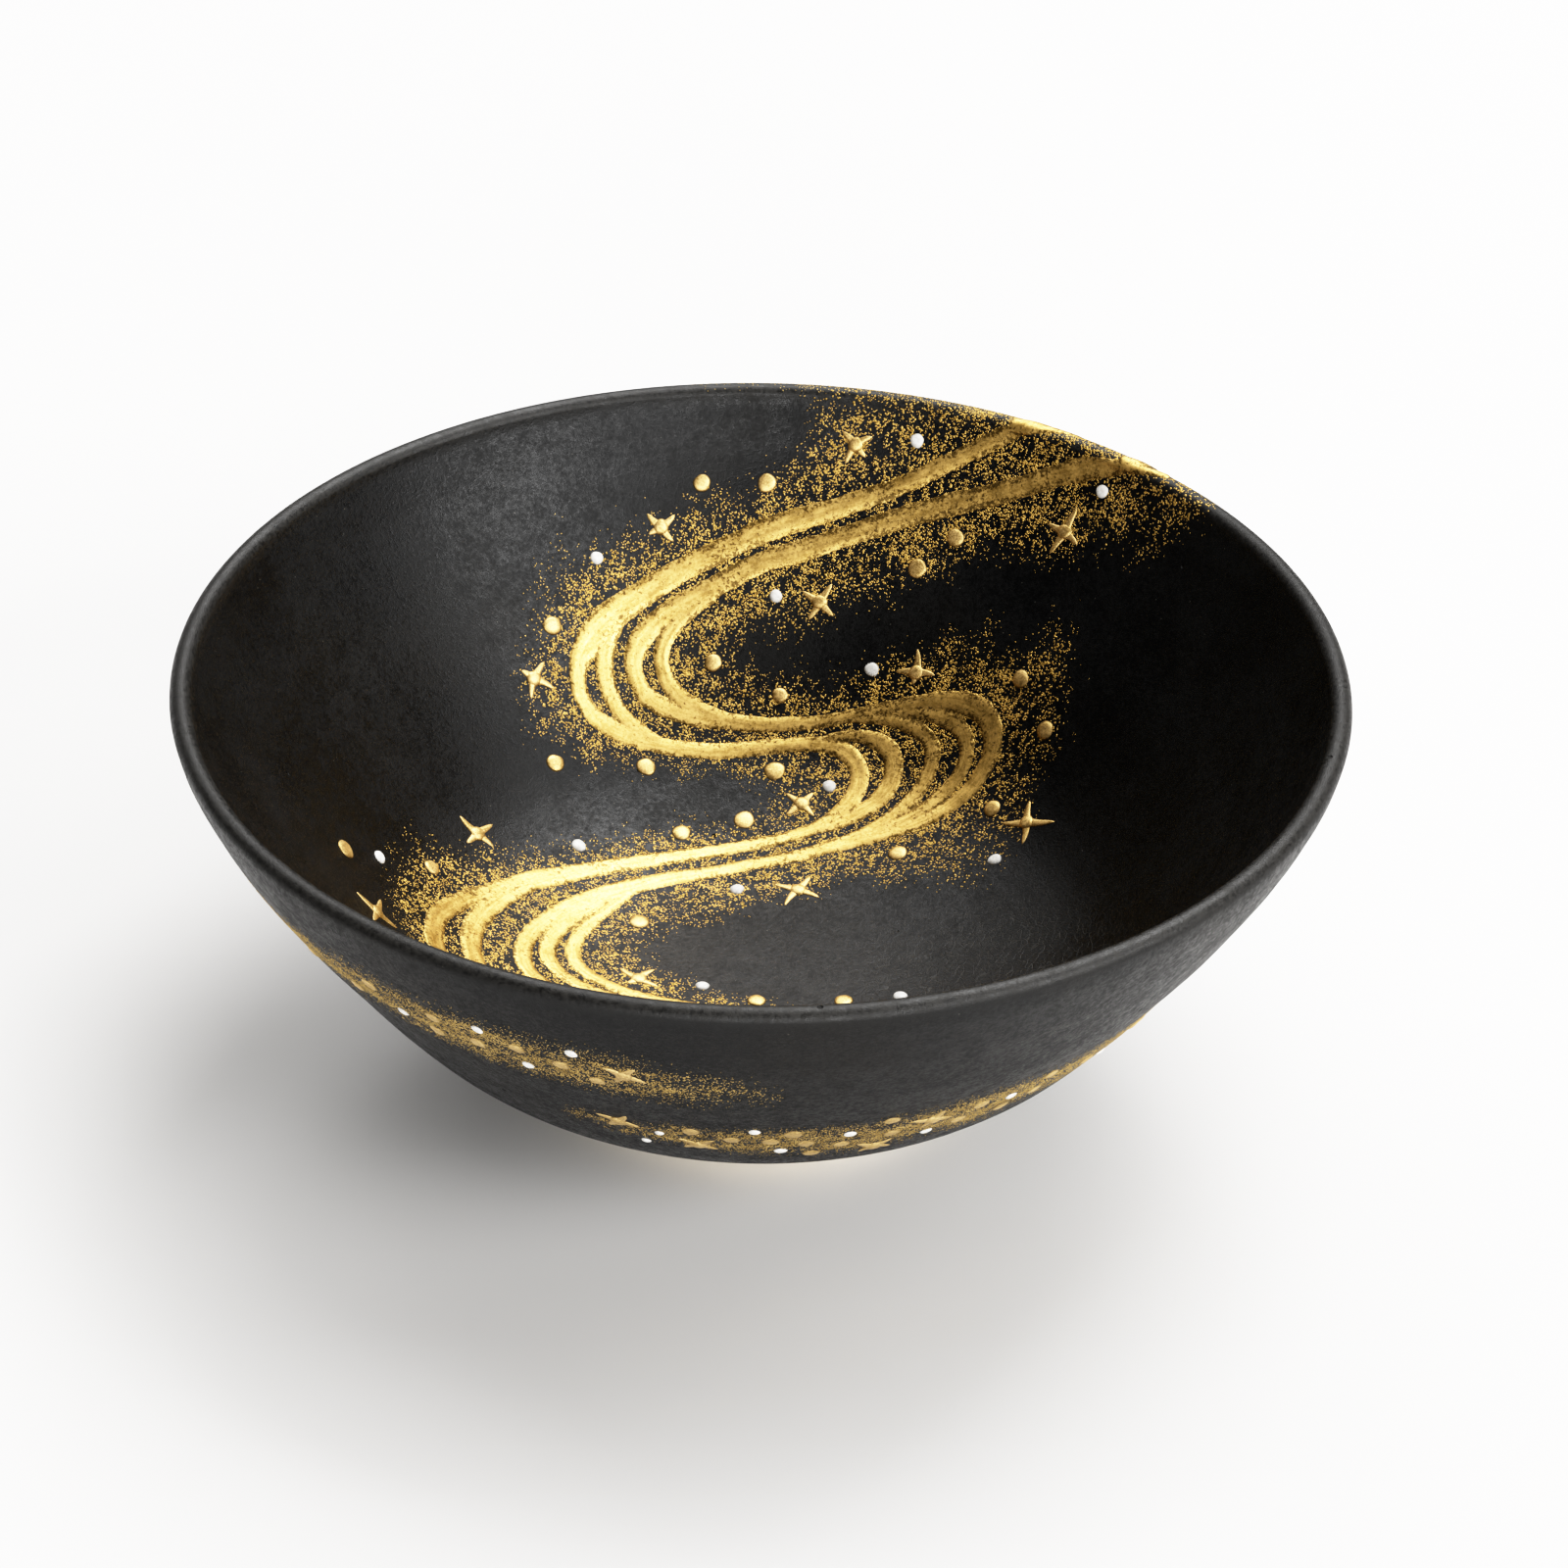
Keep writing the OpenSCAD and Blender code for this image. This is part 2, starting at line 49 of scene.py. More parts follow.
# ---------------------------------------------------------------- the bowl's section
RIM_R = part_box("black_glaze")[1].x/MM
BOWL_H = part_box("black_glaze")[1].z/MM
FOOT_R, FOOT_H, FOOT_W, RECESS = 27.0, 5.0, 5.0, 3.5
LIP_T, BELLY_T, FLOOR_Z, GLAZE_T = 2.8, 4.8, 9.6, 0.4
LIP_R = LIP_T/2
LIP_Z = BOWL_H - LIP_R
# half the hidden gap between the glaze and the clay, so that the two never share a surface
SKIN_GAP = 0.04
# how deep the strokes, drops and flecks are set into the glaze
STROKE_ROOT, DROP_ROOT, FLECK_ROOT = 0.09, 0.2, 0.03
# outline of the outside wall: share of the way out from foot to lip, and up
OUT_U = [0, 0.145, 0.305, 0.475, 0.6, 0.717, 0.827, 0.921, 0.983, 1]
OUT_V = [0, 0.067, 0.142, 0.261, 0.396, 0.541, 0.683, 0.825, 0.944, 1]


def spline(points, steps):
    """Catmull-Rom curve through points of any dimension."""
    p = np.asarray(points, float)
    out = []
    for i in range(len(p) - 1):
        a = p[i - 1] if i else 2*p[0] - p[1]
        d = p[i + 2] if i + 2 < len(p) else 2*p[i + 1] - p[i]
        for k in range(steps):
            t = k/steps
            out.append(0.5*(2*p[i] + (p[i + 1] - a)*t + (2*a - 5*p[i] + 4*p[i + 1] - d)*t*t
                            + (3*p[i] - a - 3*p[i + 1] + d)*t**3))
    out.append(p[-1])
    return np.array(out)


def smooth(x, lo, hi):
    t = np.clip((np.asarray(x, float) - lo)/(hi - lo), 0, 1)
    return t*t*(3 - 2*t)


def section():
    """The glazed line from the middle of the floor, over the lip, to the foot line outside."""
    last, foot_end = len(OUT_U) - 1, 2    # the wall's thickness runs from the lip down to foot_end
    ctrl = np.array([[FOOT_R + (RIM_R - FOOT_R)*u, FOOT_H + (LIP_Z - FOOT_H)*v]
                     for u, v in zip(OUT_U, OUT_V)])
    wall = []
    for i in range(last, foot_end - 1, -1):
        t = np.array([0, 1.0]) if i == last else ctrl[i + 1] - ctrl[i - 1]
        t = t/np.linalg.norm(t)
        thick = BELLY_T + (LIP_T - BELLY_T)*(i - foot_end)/(last - foot_end)
        wall.append(ctrl[i] + thick*np.array([-t[1], t[0]]))
    floor = [[0.36*RIM_R, FLOOR_Z + 2.4], [0.213*RIM_R, FLOOR_Z + 0.6], [0, FLOOR_Z]]
    inner = spline(wall + [np.array(f) for f in floor], 12)[::-1]
    arc = np.linspace(math.pi, 0, 25)[1:-1]
    lip = np.stack([RIM_R - LIP_R + LIP_R*np.cos(arc), LIP_Z + LIP_R*np.sin(arc)], 1)
    outer = spline(ctrl, 12)[::-1]
    return np.concatenate([inner, lip, outer]), len(inner) - 1


LINE, LIP_IN = section()
LINE_S = np.concatenate([[0], np.cumsum(np.linalg.norm(np.diff(LINE, axis=0), axis=1))])
LINE_T = np.gradient(LINE, LINE_S, axis=0)
LINE_T[0] = (1, 0)
LINE_T /= np.linalg.norm(LINE_T, axis=1)[:, None]
S_IN = LINE_S[LIP_IN]            # where the inside wall meets the lip
S_OUT = S_IN + math.pi*LIP_R     # where the lip meets the outside wall
S_END = LINE_S[-1]
# distance from the axis in the unfolded design: the plan radius inside, arc length beyond
RHO = np.where(LINE_S <= S_IN, LINE[:, 0], LINE[LIP_IN, 0] + LINE_S - S_IN)


def s_of_rho(rho):
    return np.interp(rho, RHO, LINE_S)


def s_of_height(z):
    """Place on the outside wall at height z; above the lip it runs back over the crest."""
    out = LINE_S >= S_OUT - 1e-6
    s = np.interp(np.minimum(z, LIP_Z), LINE[out, 1][::-1], LINE_S[out][::-1])
    return s - np.maximum(0, np.asarray(z, float) - LIP_Z)


def noise2(x, y, size, seed):
    """Smooth value noise, 0 to 1, with features of that size."""
    m = 128
    table = np.random.default_rng(seed).random((m, m))
    u, v = np.asarray(x, float)/size, np.asarray(y, float)/size
    i, j = np.floor(u).astype(int), np.floor(v).astype(int)
    fu, fv = u - i, v - j
    fu, fv = fu*fu*(3 - 2*fu), fv*fv*(3 - 2*fv)
    a = table[i % m, j % m]*(1 - fu) + table[(i + 1) % m, j % m]*fu
    b = table[i % m, (j + 1) % m]*(1 - fu) + table[(i + 1) % m, (j + 1) % m]*fu
    return a*(1 - fv) + b*fv


def throwing(s, th):
    """Height of the finger marks left by throwing: faint spiral rings, stronger on the walls."""
    ring = np.sin(TAU*(s/3.6 - th/TAU) + 0.5*np.sin(2*th))
    slow = np.sin(TAU*s/13 + 1.4*np.sin(th + 0.6)) + 0.6*np.sin(3*th + s/9)
    wall = smooth(s, 10, 30)*(1 - smooth(s, S_IN - 5, S_IN))
    wall = wall + smooth(s, S_OUT, S_OUT + 6)*(1 - smooth(s, S_END - 8, S_END - 1))
    return wall*(0.009*ring + 0.03*slow)


def skin(s, th, h):
    """Points at height h above the glaze at section place s and angle th."""
    s, th, h = np.broadcast_arrays(np.asarray(s, float), th, h)
    r, z = np.interp(s, LINE_S, LINE[:, 0]), np.interp(s, LINE_S, LINE[:, 1])
    tr, tz = np.interp(s, LINE_S, LINE_T[:, 0]), np.interp(s, LINE_S, LINE_T[:, 1])
    n = np.hypot(tr, tz)
    h = h + throwing(s, th)
    r, z = r - h*tz/n, z + h*tr/n
    return np.stack([r*np.cos(th), r*np.sin(th), z], -1)


# ---------------------------------------------------------------- mesh helpers
def piece(name, verts, faces, mat, nodes=(), values=None, uv=None):
    """A mesh piece from points in mm and lists of faces, riding on the bowl."""
    me = bpy.data.meshes.new(name)
    me.from_pydata((np.asarray(verts)*MM).tolist(), [], faces)
    me.polygons.foreach_set("use_smooth", [True]*len(me.polygons))
    for key, val in (values or {}).items():
        layer = me.attributes.new(key, "FLOAT", "POINT")
        layer.data.foreach_set("value", np.asarray(val, np.float32))
    if uv is not None:
        idx = np.zeros(len(me.loops), np.int32)
        me.loops.foreach_get("vertex_index", idx)
        layer = me.uv_layers.new(name="brush")
        layer.data.foreach_set("uv", np.asarray(uv, np.float32)[idx].ravel())
    me.materials.append(mat)
    me.update()
    ob = bpy.data.objects.new(name, me)
    bpy.context.scene.collection.objects.link(ob)
    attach(ob, "root")
    if nodes:
        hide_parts(*nodes)
    return ob


def lathe_faces(rings, segs):
    """Faces of a closed turned body: a pole, rings of segs points each, and a pole."""
    j = np.arange(segs)
    k = (j + 1) % segs
    first, last = 1 + j, 1 + (rings - 1)*segs
    faces = np.stack([np.zeros(segs, int), first, 1 + k], 1).tolist()
    for i in range(rings - 1):
        a, b = 1 + i*segs, 1 + (i + 1)*segs
        faces += np.stack([a + j, b + j, b + k, a + k], 1).tolist()
    end = 1 + rings*segs
    return faces + np.stack([last + k, last + j, np.full(segs, end)], 1).tolist()


def lathe(ring_points, start, end):
    """ring_points is an array of rings x segs x 3."""
    rings, segs, _ = ring_points.shape
    return (np.concatenate([[start], ring_points.reshape(-1, 3), [end]]),
            lathe_faces(rings, segs))


# ---------------------------------------------------------------- materials
class Mat:
    """A short way to write a node material around one Principled shader."""

    def __init__(self, name, **constants):
        self.mat = bpy.data.materials.new(name)
        self.mat.use_nodes = True
        self.tree = self.mat.node_tree
        self.tree.nodes.clear()
        out = self.tree.nodes.new("ShaderNodeOutputMaterial")
        self.bsdf = self.tree.nodes.new("ShaderNodeBsdfPrincipled")
        self.tree.links.new(self.bsdf.outputs[0], out.inputs["Surface"])
        for key, val in constants.items():
            self.bsdf.inputs[key.replace("_", " ")].default_value = val
        self.co = self.tree.nodes.new("ShaderNodeTexCoord").outputs["Object"]

    def put(self, sock, val):
        if isinstance(val, bpy.types.NodeSocket):
            self.tree.links.new(val, sock)
        else:
            sock.default_value = val

    def node(self, kind, ins=None, **props):
        n = self.tree.nodes.new(kind)
        for key, val in props.items():
            setattr(n, key, val)
        for key, val in (ins or {}).items():
            self.put(n.inputs[key], val)
        return n

    def space(self, scale, co=None):
        """Coordinates in millimetres, times scale (one number, or x, y, z)."""
        k = 1/MM if co is None else 1
        scale = [k*v for v in (scale if hasattr(scale, "__len__") else (scale,)*3)]
        co = self.co if co is None else co
        return self.node("ShaderNodeMapping", {"Vector": co, "Scale": scale}).outputs[0]

    def noise(self, scale, detail=3, rough=0.5, co=None, distort=0.0):
        n = self.node("ShaderNodeTexNoise", {"Vector": self.space(scale, co), "Scale": 1.0,
                                             "Detail": detail, "Roughness": rough,
                                             "Distortion": distort})
        return n.outputs["Fac"]

    def voronoi(self, scale, feature="F1", out="Distance"):
        n = self.node("ShaderNodeTexVoronoi", {"Vector": self.space(scale), "Scale": 1.0},
                      feature=feature)
        return n.outputs[out]

    def math(self, op, a, b=0.0, clamp=False):
        return self.node("ShaderNodeMath", {0: a, 1: b}, operation=op, use_clamp=clamp).outputs[0]

    def range(self, val, lo, hi, to_lo=0.0, to_hi=1.0, soft=True):
        n = self.node("ShaderNodeMapRange", {"Value": val, "From Min": lo, "From Max": hi,
                                             "To Min": to_lo, "To Max": to_hi},
                      interpolation_type="SMOOTHSTEP" if soft else "LINEAR")
        return n.outputs[0]

    def mix(self, fac, a, b):
        n = self.node("ShaderNodeMix", data_type="RGBA")
        self.put(n.inputs["Factor"], fac)
        for sock, val in ((n.inputs[6], a), (n.inputs[7], b)):
            self.put(sock, val if isinstance(val, bpy.types.NodeSocket) else (*val, 1))
        return n.outputs[2]

    def attr(self, name):
        return self.node("ShaderNodeAttribute", attribute_name=name).outputs["Fac"]

    def bump(self, height, strength, distance):
        ins = {"Height": height, "Strength": strength, "Distance": distance*MM}
        return self.node("ShaderNodeBump", ins).outputs[0]

    def set(self, **links):
        for key, val in links.items():
            self.put(self.bsdf.inputs[key.replace("_", " ")], val)
        return self.mat


def glaze_material():
    m = Mat("matte_black_glaze", IOR=1.44)
    cloud = m.noise(0.055, 5, 0.6, distort=0.4)
    marks = m.noise((0.09, 0.09, 0.8), 4, 0.6)
    grain = m.noise(1.7, 4, 0.7)
    fine = m.noise(6.0, 2, 0.6)
    # tiny pale specks of undissolved ash, and a few dark pinholes
    cell = m.voronoi(0.5)
    pick = m.node("ShaderNodeSeparateColor",
                  {0: m.voronoi(0.5, out="Color")}).outputs[0]
    speck = m.math("MULTIPLY", m.range(cell, 0.03, 0.06, 1, 0), m.range(pick, 0.55, 0.6))
    hole = m.range(m.voronoi(0.085), 0.018, 0.035, 1, 0)
    # crackle in the glaze at the foot of the right-hand wall
    away = m.node("ShaderNodeVectorMath", {0: m.space(1), 1: (30, -10, 15)},
                  operation="DISTANCE").outputs["Value"]
    crack = m.range(m.voronoi(0.8, "DISTANCE_TO_EDGE"), 0.0, 0.045, 1, 0)
    crack = m.math("MULTIPLY", crack, m.range(away, 10, 30, 1, 0))
    tone = m.math("ADD", m.math("MULTIPLY", cloud, 0.75), m.math("MULTIPLY", marks, 0.25))
    base = m.mix(m.range(tone, 0.36, 0.66), (0.0018, 0.0018, 0.0020), (0.0060, 0.0059, 0.0058))
    base = m.mix(m.range(m.noise(0.03, 3, 0.5), 0.5, 0.7), base, (0.0060, 0.0053, 0.0043))
    base = m.mix(m.math("MULTIPLY", grain, 0.3), base, (0.009, 0.009, 0.009))
    base = m.mix(m.math("MULTIPLY", speck, 0.5), base, (0.16, 0.15, 0.13))
    base = m.mix(m.math("MULTIPLY", crack, 0.5), base, (0.07, 0.068, 0.063))
    base = m.mix(hole, base, (0.001, 0.001, 0.001))
    # the glaze runs thin over the lip and lets the clay's grey-brown through; the lighter lip is
    # also a painted sheen along the rim
    base = m.mix(m.math("MULTIPLY", m.attr("lip"), m.range(grain, 0.35, 0.6, 0.35, 1.0)), base,
                 (0.026, 0.0245, 0.022))
    mottle = m.noise(0.45, 4, 0.7)
    rough = m.math("ADD", m.math("MULTIPLY", cloud, 0.2), m.math("MULTIPLY", mottle, 0.3))
    rough = m.range(m.math("ADD", rough, m.math("MULTIPLY", grain, 0.5)), 0.38, 0.62, 0.31, 0.60)
    rough = m.math("ADD", rough, m.math("MULTIPLY", hole, 0.4), clamp=True)
    relief = m.math("ADD", m.math("MULTIPLY", grain, 0.7), m.math("MULTIPLY", fine, 0.3))
    relief = m.math("SUBTRACT", relief, m.math("MULTIPLY", hole, 3.0))
    relief = m.math("SUBTRACT", relief, m.math("MULTIPLY", crack, 0.25))
    return m.set(Base_Color=base, Roughness=rough, Normal=m.bump(relief, 0.95, 0.11))


def clay_material():
    m = Mat("bare_stoneware", IOR=1.45)
    grit = m.noise(3.5, 4, 0.7)
    patch = m.noise(0.12, 3, 0.5)
    iron = m.range(m.voronoi(0.7), 0.06, 0.12, 1, 0)
    rings = m.noise((0.15, 0.15, 5.0), 3, 0.6)
    base = m.mix(patch, (0.69, 0.58, 0.42), (0.80, 0.71, 0.55))
    base = m.mix(m.range(grit, 0.35, 0.7, 0.0, 0.55), base, (0.58, 0.47, 0.33))
    base = m.mix(m.math("MULTIPLY", iron, 0.6), base, (0.26, 0.15, 0.08))
    relief = m.math("ADD", grit, m.math("MULTIPLY", rings, 0.5))
    return m.set(Base_Color=base, Roughness=m.range(grit, 0.3, 0.7, 0.78, 0.95),
                 Normal=m.bump(relief, 0.6, 0.12))


def gold_material(name, bright, shade, brushed=False):
    m = Mat(name, IOR=1.45, Metallic=0.86)
    blot = m.noise(0.5, 4, 0.6)
    grain = m.noise(4.0, 3, 0.7)
    rim = m.attr("rim")
    if brushed:
        uv = m.node("ShaderNodeUVMap", uv_map="brush").outputs[0]
        hairs = m.noise((0.3, 3.0, 1), 3, 0.6, co=uv)
        tone = m.math("ADD", m.math("MULTIPLY", hairs, 0.35), m.math("MULTIPLY", blot, 0.25))
        tone = m.math("ADD", tone, m.math("MULTIPLY", m.noise(2.4, 3, 0.7), 0.4))
    else:
        hairs = grain
        tone = m.math("ADD", m.math("MULTIPLY", grain, 0.5), m.math("MULTIPLY", blot, 0.5))
    base = m.mix(m.range(tone, 0.38, 0.62), shade, bright)
    dark = tuple(0.16*v for v in shade)
    if brushed:
        # powder gold lies thin in patches and along the edges, and lets the black through
        thin = m.range(m.math("ADD", m.noise(0.16, 3, 0.6), m.math("MULTIPLY", rim, 0.36)),
                       0.42, 0.90)
        open_to = m.math("ADD", m.math("MULTIPLY", thin, 0.19), 0.375)
        speck = m.math("SUBTRACT", open_to, m.noise(2.0, 3, 0.75, distort=0.5))
        base = m.mix(m.range(speck, -0.03, 0.07, 0, 0.8), base, dark)
    else:
        # painted shade: the edges of the drops and of the stars' rays and middles are darkened
        # where their domes slope away
        base = m.mix(m.range(rim, 0.5, 1.0, 0, 0.75), base, tuple(0.35*v for v in shade))
        base = m.mix(m.range(m.noise(2.2, 3, 0.7), 0.56, 0.72, 0, 0.5), base,
                     tuple(0.5*v for v in shade))
    rough = m.range(m.math("ADD", m.math("MULTIPLY", blot, 0.5), m.math("MULTIPLY", grain, 0.5)),
                    0.3, 0.7, 0.36, 0.58)
    relief = m.math("ADD", m.math("MULTIPLY", hairs, 0.4), m.math("MULTIPLY", grain, 0.6))
    return m.set(Base_Color=base, Roughness=rough, Normal=m.bump(relief, 0.5, 0.05))


def white_material():
    m = Mat("white_enamel", IOR=1.5)
    blot = m.noise(1.4, 3, 0.6)
    grain = m.noise(7.0, 2, 0.6)
    base = m.mix(m.range(blot, 0.35, 0.65), (0.66, 0.64, 0.60), (0.86, 0.85, 0.82))
    # painted shade: the edges of the white drops are darkened where their domes slope away
    base = m.mix(m.range(m.attr("rim"), 0.6, 1.0, 0, 0.6), base, (0.36, 0.34, 0.31))
    return m.set(Base_Color=base, Roughness=m.range(grain, 0.3, 0.7, 0.35, 0.55),
                 Normal=m.bump(grain, 0.4, 0.04))


GLAZE = glaze_material()
CLAY = clay_material()
STREAM_GOLD = gold_material("stream_gold", (0.86, 0.585, 0.22), (0.50, 0.325, 0.10),
                            brushed=True)
DROP_GOLD = gold_material("drop_gold", (0.90, 0.635, 0.29), (0.56, 0.375, 0.14))
DUST_GOLD = gold_material("dust_gold", (0.82, 0.56, 0.19), (0.50, 0.325, 0.09))
# painted shade: darker copies of the drop and dust gold for the outside wall, which lies in shade
OUTSIDE_SHADE_GOLD = gold_material("shaded_drop_gold", (0.76, 0.56, 0.28), (0.56, 0.39, 0.17))
OUTSIDE_SHADE_DUST = gold_material("shaded_dust_gold", (0.56, 0.41, 0.175), (0.35, 0.245, 0.09))
WHITE = white_material()


# ---------------------------------------------------------------- bowl
def build_glaze():
    segs = 400
    th = np.arange(segs)*TAU/segs
    inside = np.linspace(0, S_IN, 84)[1:]
    lip = np.linspace(S_IN, S_OUT, 15)[1:]
    outside = np.linspace(S_OUT, S_END, 74)[1:]
    front = np.concatenate([inside, lip, outside])
    # the glaze stops at the foot in a slightly wavy, rolled edge
    stop = 0.22 + 0.16*np.sin(3*th + 1) + 0.1*np.sin(7*th) + 0.06*np.sin(19*th + 2)
    rings, lips = [], [np.zeros(1)]
    for s in front:
        on_lip = smooth(s, S_IN - 0.8, S_IN + 1)*(1 - smooth(s, S_OUT - 1.4, S_OUT + 0.4))
        lips.append(np.full(segs, float(on_lip)))
        bead = 0.13*math.exp(-((S_END - 0.7 - s)/0.6)**2)
        rings.append(skin(s - smooth(s, S_END - 3, S_END)*stop, th, bead))
    back = np.concatenate([np.linspace(S_END, S_OUT, 22), np.linspace(S_OUT, S_IN, 8)[1:],
                           np.linspace(S_IN, 0, 28)[1:-1]])
    for s in back:
        rings.append(skin(s - smooth(s, S_END - 3, S_END)*stop, th, SKIN_GAP - GLAZE_T))
    verts, faces = lathe(np.array(rings), skin(0, 0, 0), skin(0, 0, SKIN_GAP - GLAZE_T))
    lips.append(np.zeros(len(verts) - 1 - segs*len(front)))
    piece("glaze_skin", verts, faces, GLAZE, ["black_glaze"],
          {"lip": np.concatenate(lips)})


def build_clay():
    segs = 320
    th = np.arange(segs)*TAU/segs
    rings = [skin(s, th, -GLAZE_T - SKIN_GAP) for s in np.linspace(0, S_END - 0.02, 60)[1:]]
    # foot ring and the hollow turned under it, with the tool's rings
    foot_in = FOOT_R - FOOT_W
    key = [(FOOT_R - 0.02, FOOT_H), (FOOT_R - 0.25, 3.4), (FOOT_R - 0.5, 1.8),
           (FOOT_R - 0.72, 0.75), (FOOT_R - 0.95, 0.28), (FOOT_R - 1.4, 0), (FOOT_R - 2.4, 0),
           (foot_in + 1.2, 0), (foot_in + 0.45, 0), (foot_in + 0.12, 0.35), (foot_in, 1.2),
           (foot_in - 0.05, RECESS - 0.7), (foot_in - 0.3, RECESS - 0.2), (foot_in - 0.8, RECESS)]
    key = np.array(key)
    fine = np.concatenate([key[i] + (key[i + 1] - key[i])*np.linspace(0, 1, 5)[:-1, None]
                           for i in range(len(key) - 1)] + [key[-1:]])
    hollow = np.linspace(key[-1, 0], 0.4, 74)[1:]
    fine = np.concatenate([fine, np.stack([hollow, np.full(len(hollow), RECESS)], 1)])
    for r, z in fine:
        side = 0.05*math.exp(-((z - 2.6)/1.6)**2)*np.sin(TAU*z/0.9 - th) if r > FOOT_R - 1 else 0
        under = z >= RECESS - 0.01
        lift = 0.11*np.sin(TAU*r/1.7 - th) + 0.05*np.sin(TAU*r/0.74 - th) if under else 0
        lift = lift - (0.25*math.exp(-(r/1.6)**2) if under else 0)
        rings.append(np.stack([(r + side)*np.cos(th), (r + side)*np.sin(th), z + lift + 0*th], 1))
    verts, faces = lathe(np.array(rings), skin(0, 0, -GLAZE_T - SKIN_GAP), (0, 0, RECESS - 0.25))
    piece("turned_clay_body", verts, faces, CLAY, ["clay_body"])


# ---------------------------------------------------------------- the gold stream
# brush strokes in the unfolded design, [x, y, width]
UPPER = [
    [[44, 61.8, 1.6], [40, 62.9, 1.8], [35, 63.7, 1.6], [30, 64.25, 1.4], [24, 64.6, 1.5],
     [17, 64.5, 1.6], [10, 64.2, 1.8], [4, 63.6, 2], [-1, 62.6, 2.1], [-6, 61, 2.1],
     [-11, 58.9, 2.2], [-16, 56.2, 2.4], [-20, 53.5, 2.8], [-23, 50.8, 3.2], [-25, 48.2, 2.6],
     [-25.5, 46, 2.4], [-25, 44.2, 2.4], [-23.3, 42.9, 2.3], [-20.5, 42.2, 2.2], [-16, 42, 2],
     [-10, 42.1, 2], [-5, 42.5, 2], [0, 43.1, 1.9], [5, 43.4, 1.7], [9, 43, 1.8],
     [12, 41.7, 2.3], [13.6, 39.5, 2.6], [13.6, 37.2, 2.8], [12.4, 35, 2.6], [10.3, 33, 2.4],
     [7.5, 31.4, 2.1], [4, 30.2, 1.9], [0, 29.1, 2], [-5, 27.8, 2.1], [-10, 26.4, 2.2],
     [-15, 24.7, 2.3], [-20, 22.6, 2.4], [-25, 20, 2.8], [-30, 16.8, 3.2], [-34, 13.5, 2.8],
     [-37.6, 10, 2.6], [-40.2, 6.5, 2.6], [-42, 3, 2.6], [-42.6, 0, 2.6], [-42.3, -4, 2.6],
     [-40.4, -8, 2.5], [-37, -11.2, 2.4], [-31.5, -13.2, 2.4], [-24, -13.8, 2.3],
     [-14, -14, 2.2], [-4, -14.8, 2.1], [6, -16.4, 2], [15, -19.4, 1.9], [23, -24, 1.7],
     [29, -30.5, 1.4], [33, -38, 1], [35, -45, 0.4]],
    [[-18.5, 54.3, 1.2], [-20.5, 52.1, 1.9], [-21.6, 50, 2.4], [-21.9, 48, 2.6],
     [-21.1, 45.8, 2.4], [-19, 44, 2.1], [-15.7, 42.8, 1.5], [-12, 42.3, 0.8]],
    [[6, 43.4, 1], [10, 43.7, 1.2], [13.2, 43.5, 1.4], [16, 42.5, 1.9], [18, 40.8, 2.4],
     [18.5, 38.9, 2.7], [18.1, 37, 2.8], [16.7, 35.2, 2.7], [14.4, 33.6, 2.5],
     [11.6, 32.3, 2.2], [8, 31.3, 1.6]],
    [[-28.5, 17.3, 1.4], [-31.5, 14.8, 2.2], [-34.2, 11.6, 2.8], [-36.3, 8, 3],
     [-37.5, 4.3, 3.1], [-37.9, 0.6, 3], [-37.4, -2.8, 2.8], [-35.6, -6.2, 2.5],
     [-32.6, -9.4, 2.2], [-28.4, -11.8, 1.8], [-23, -13.2, 1.2]]]
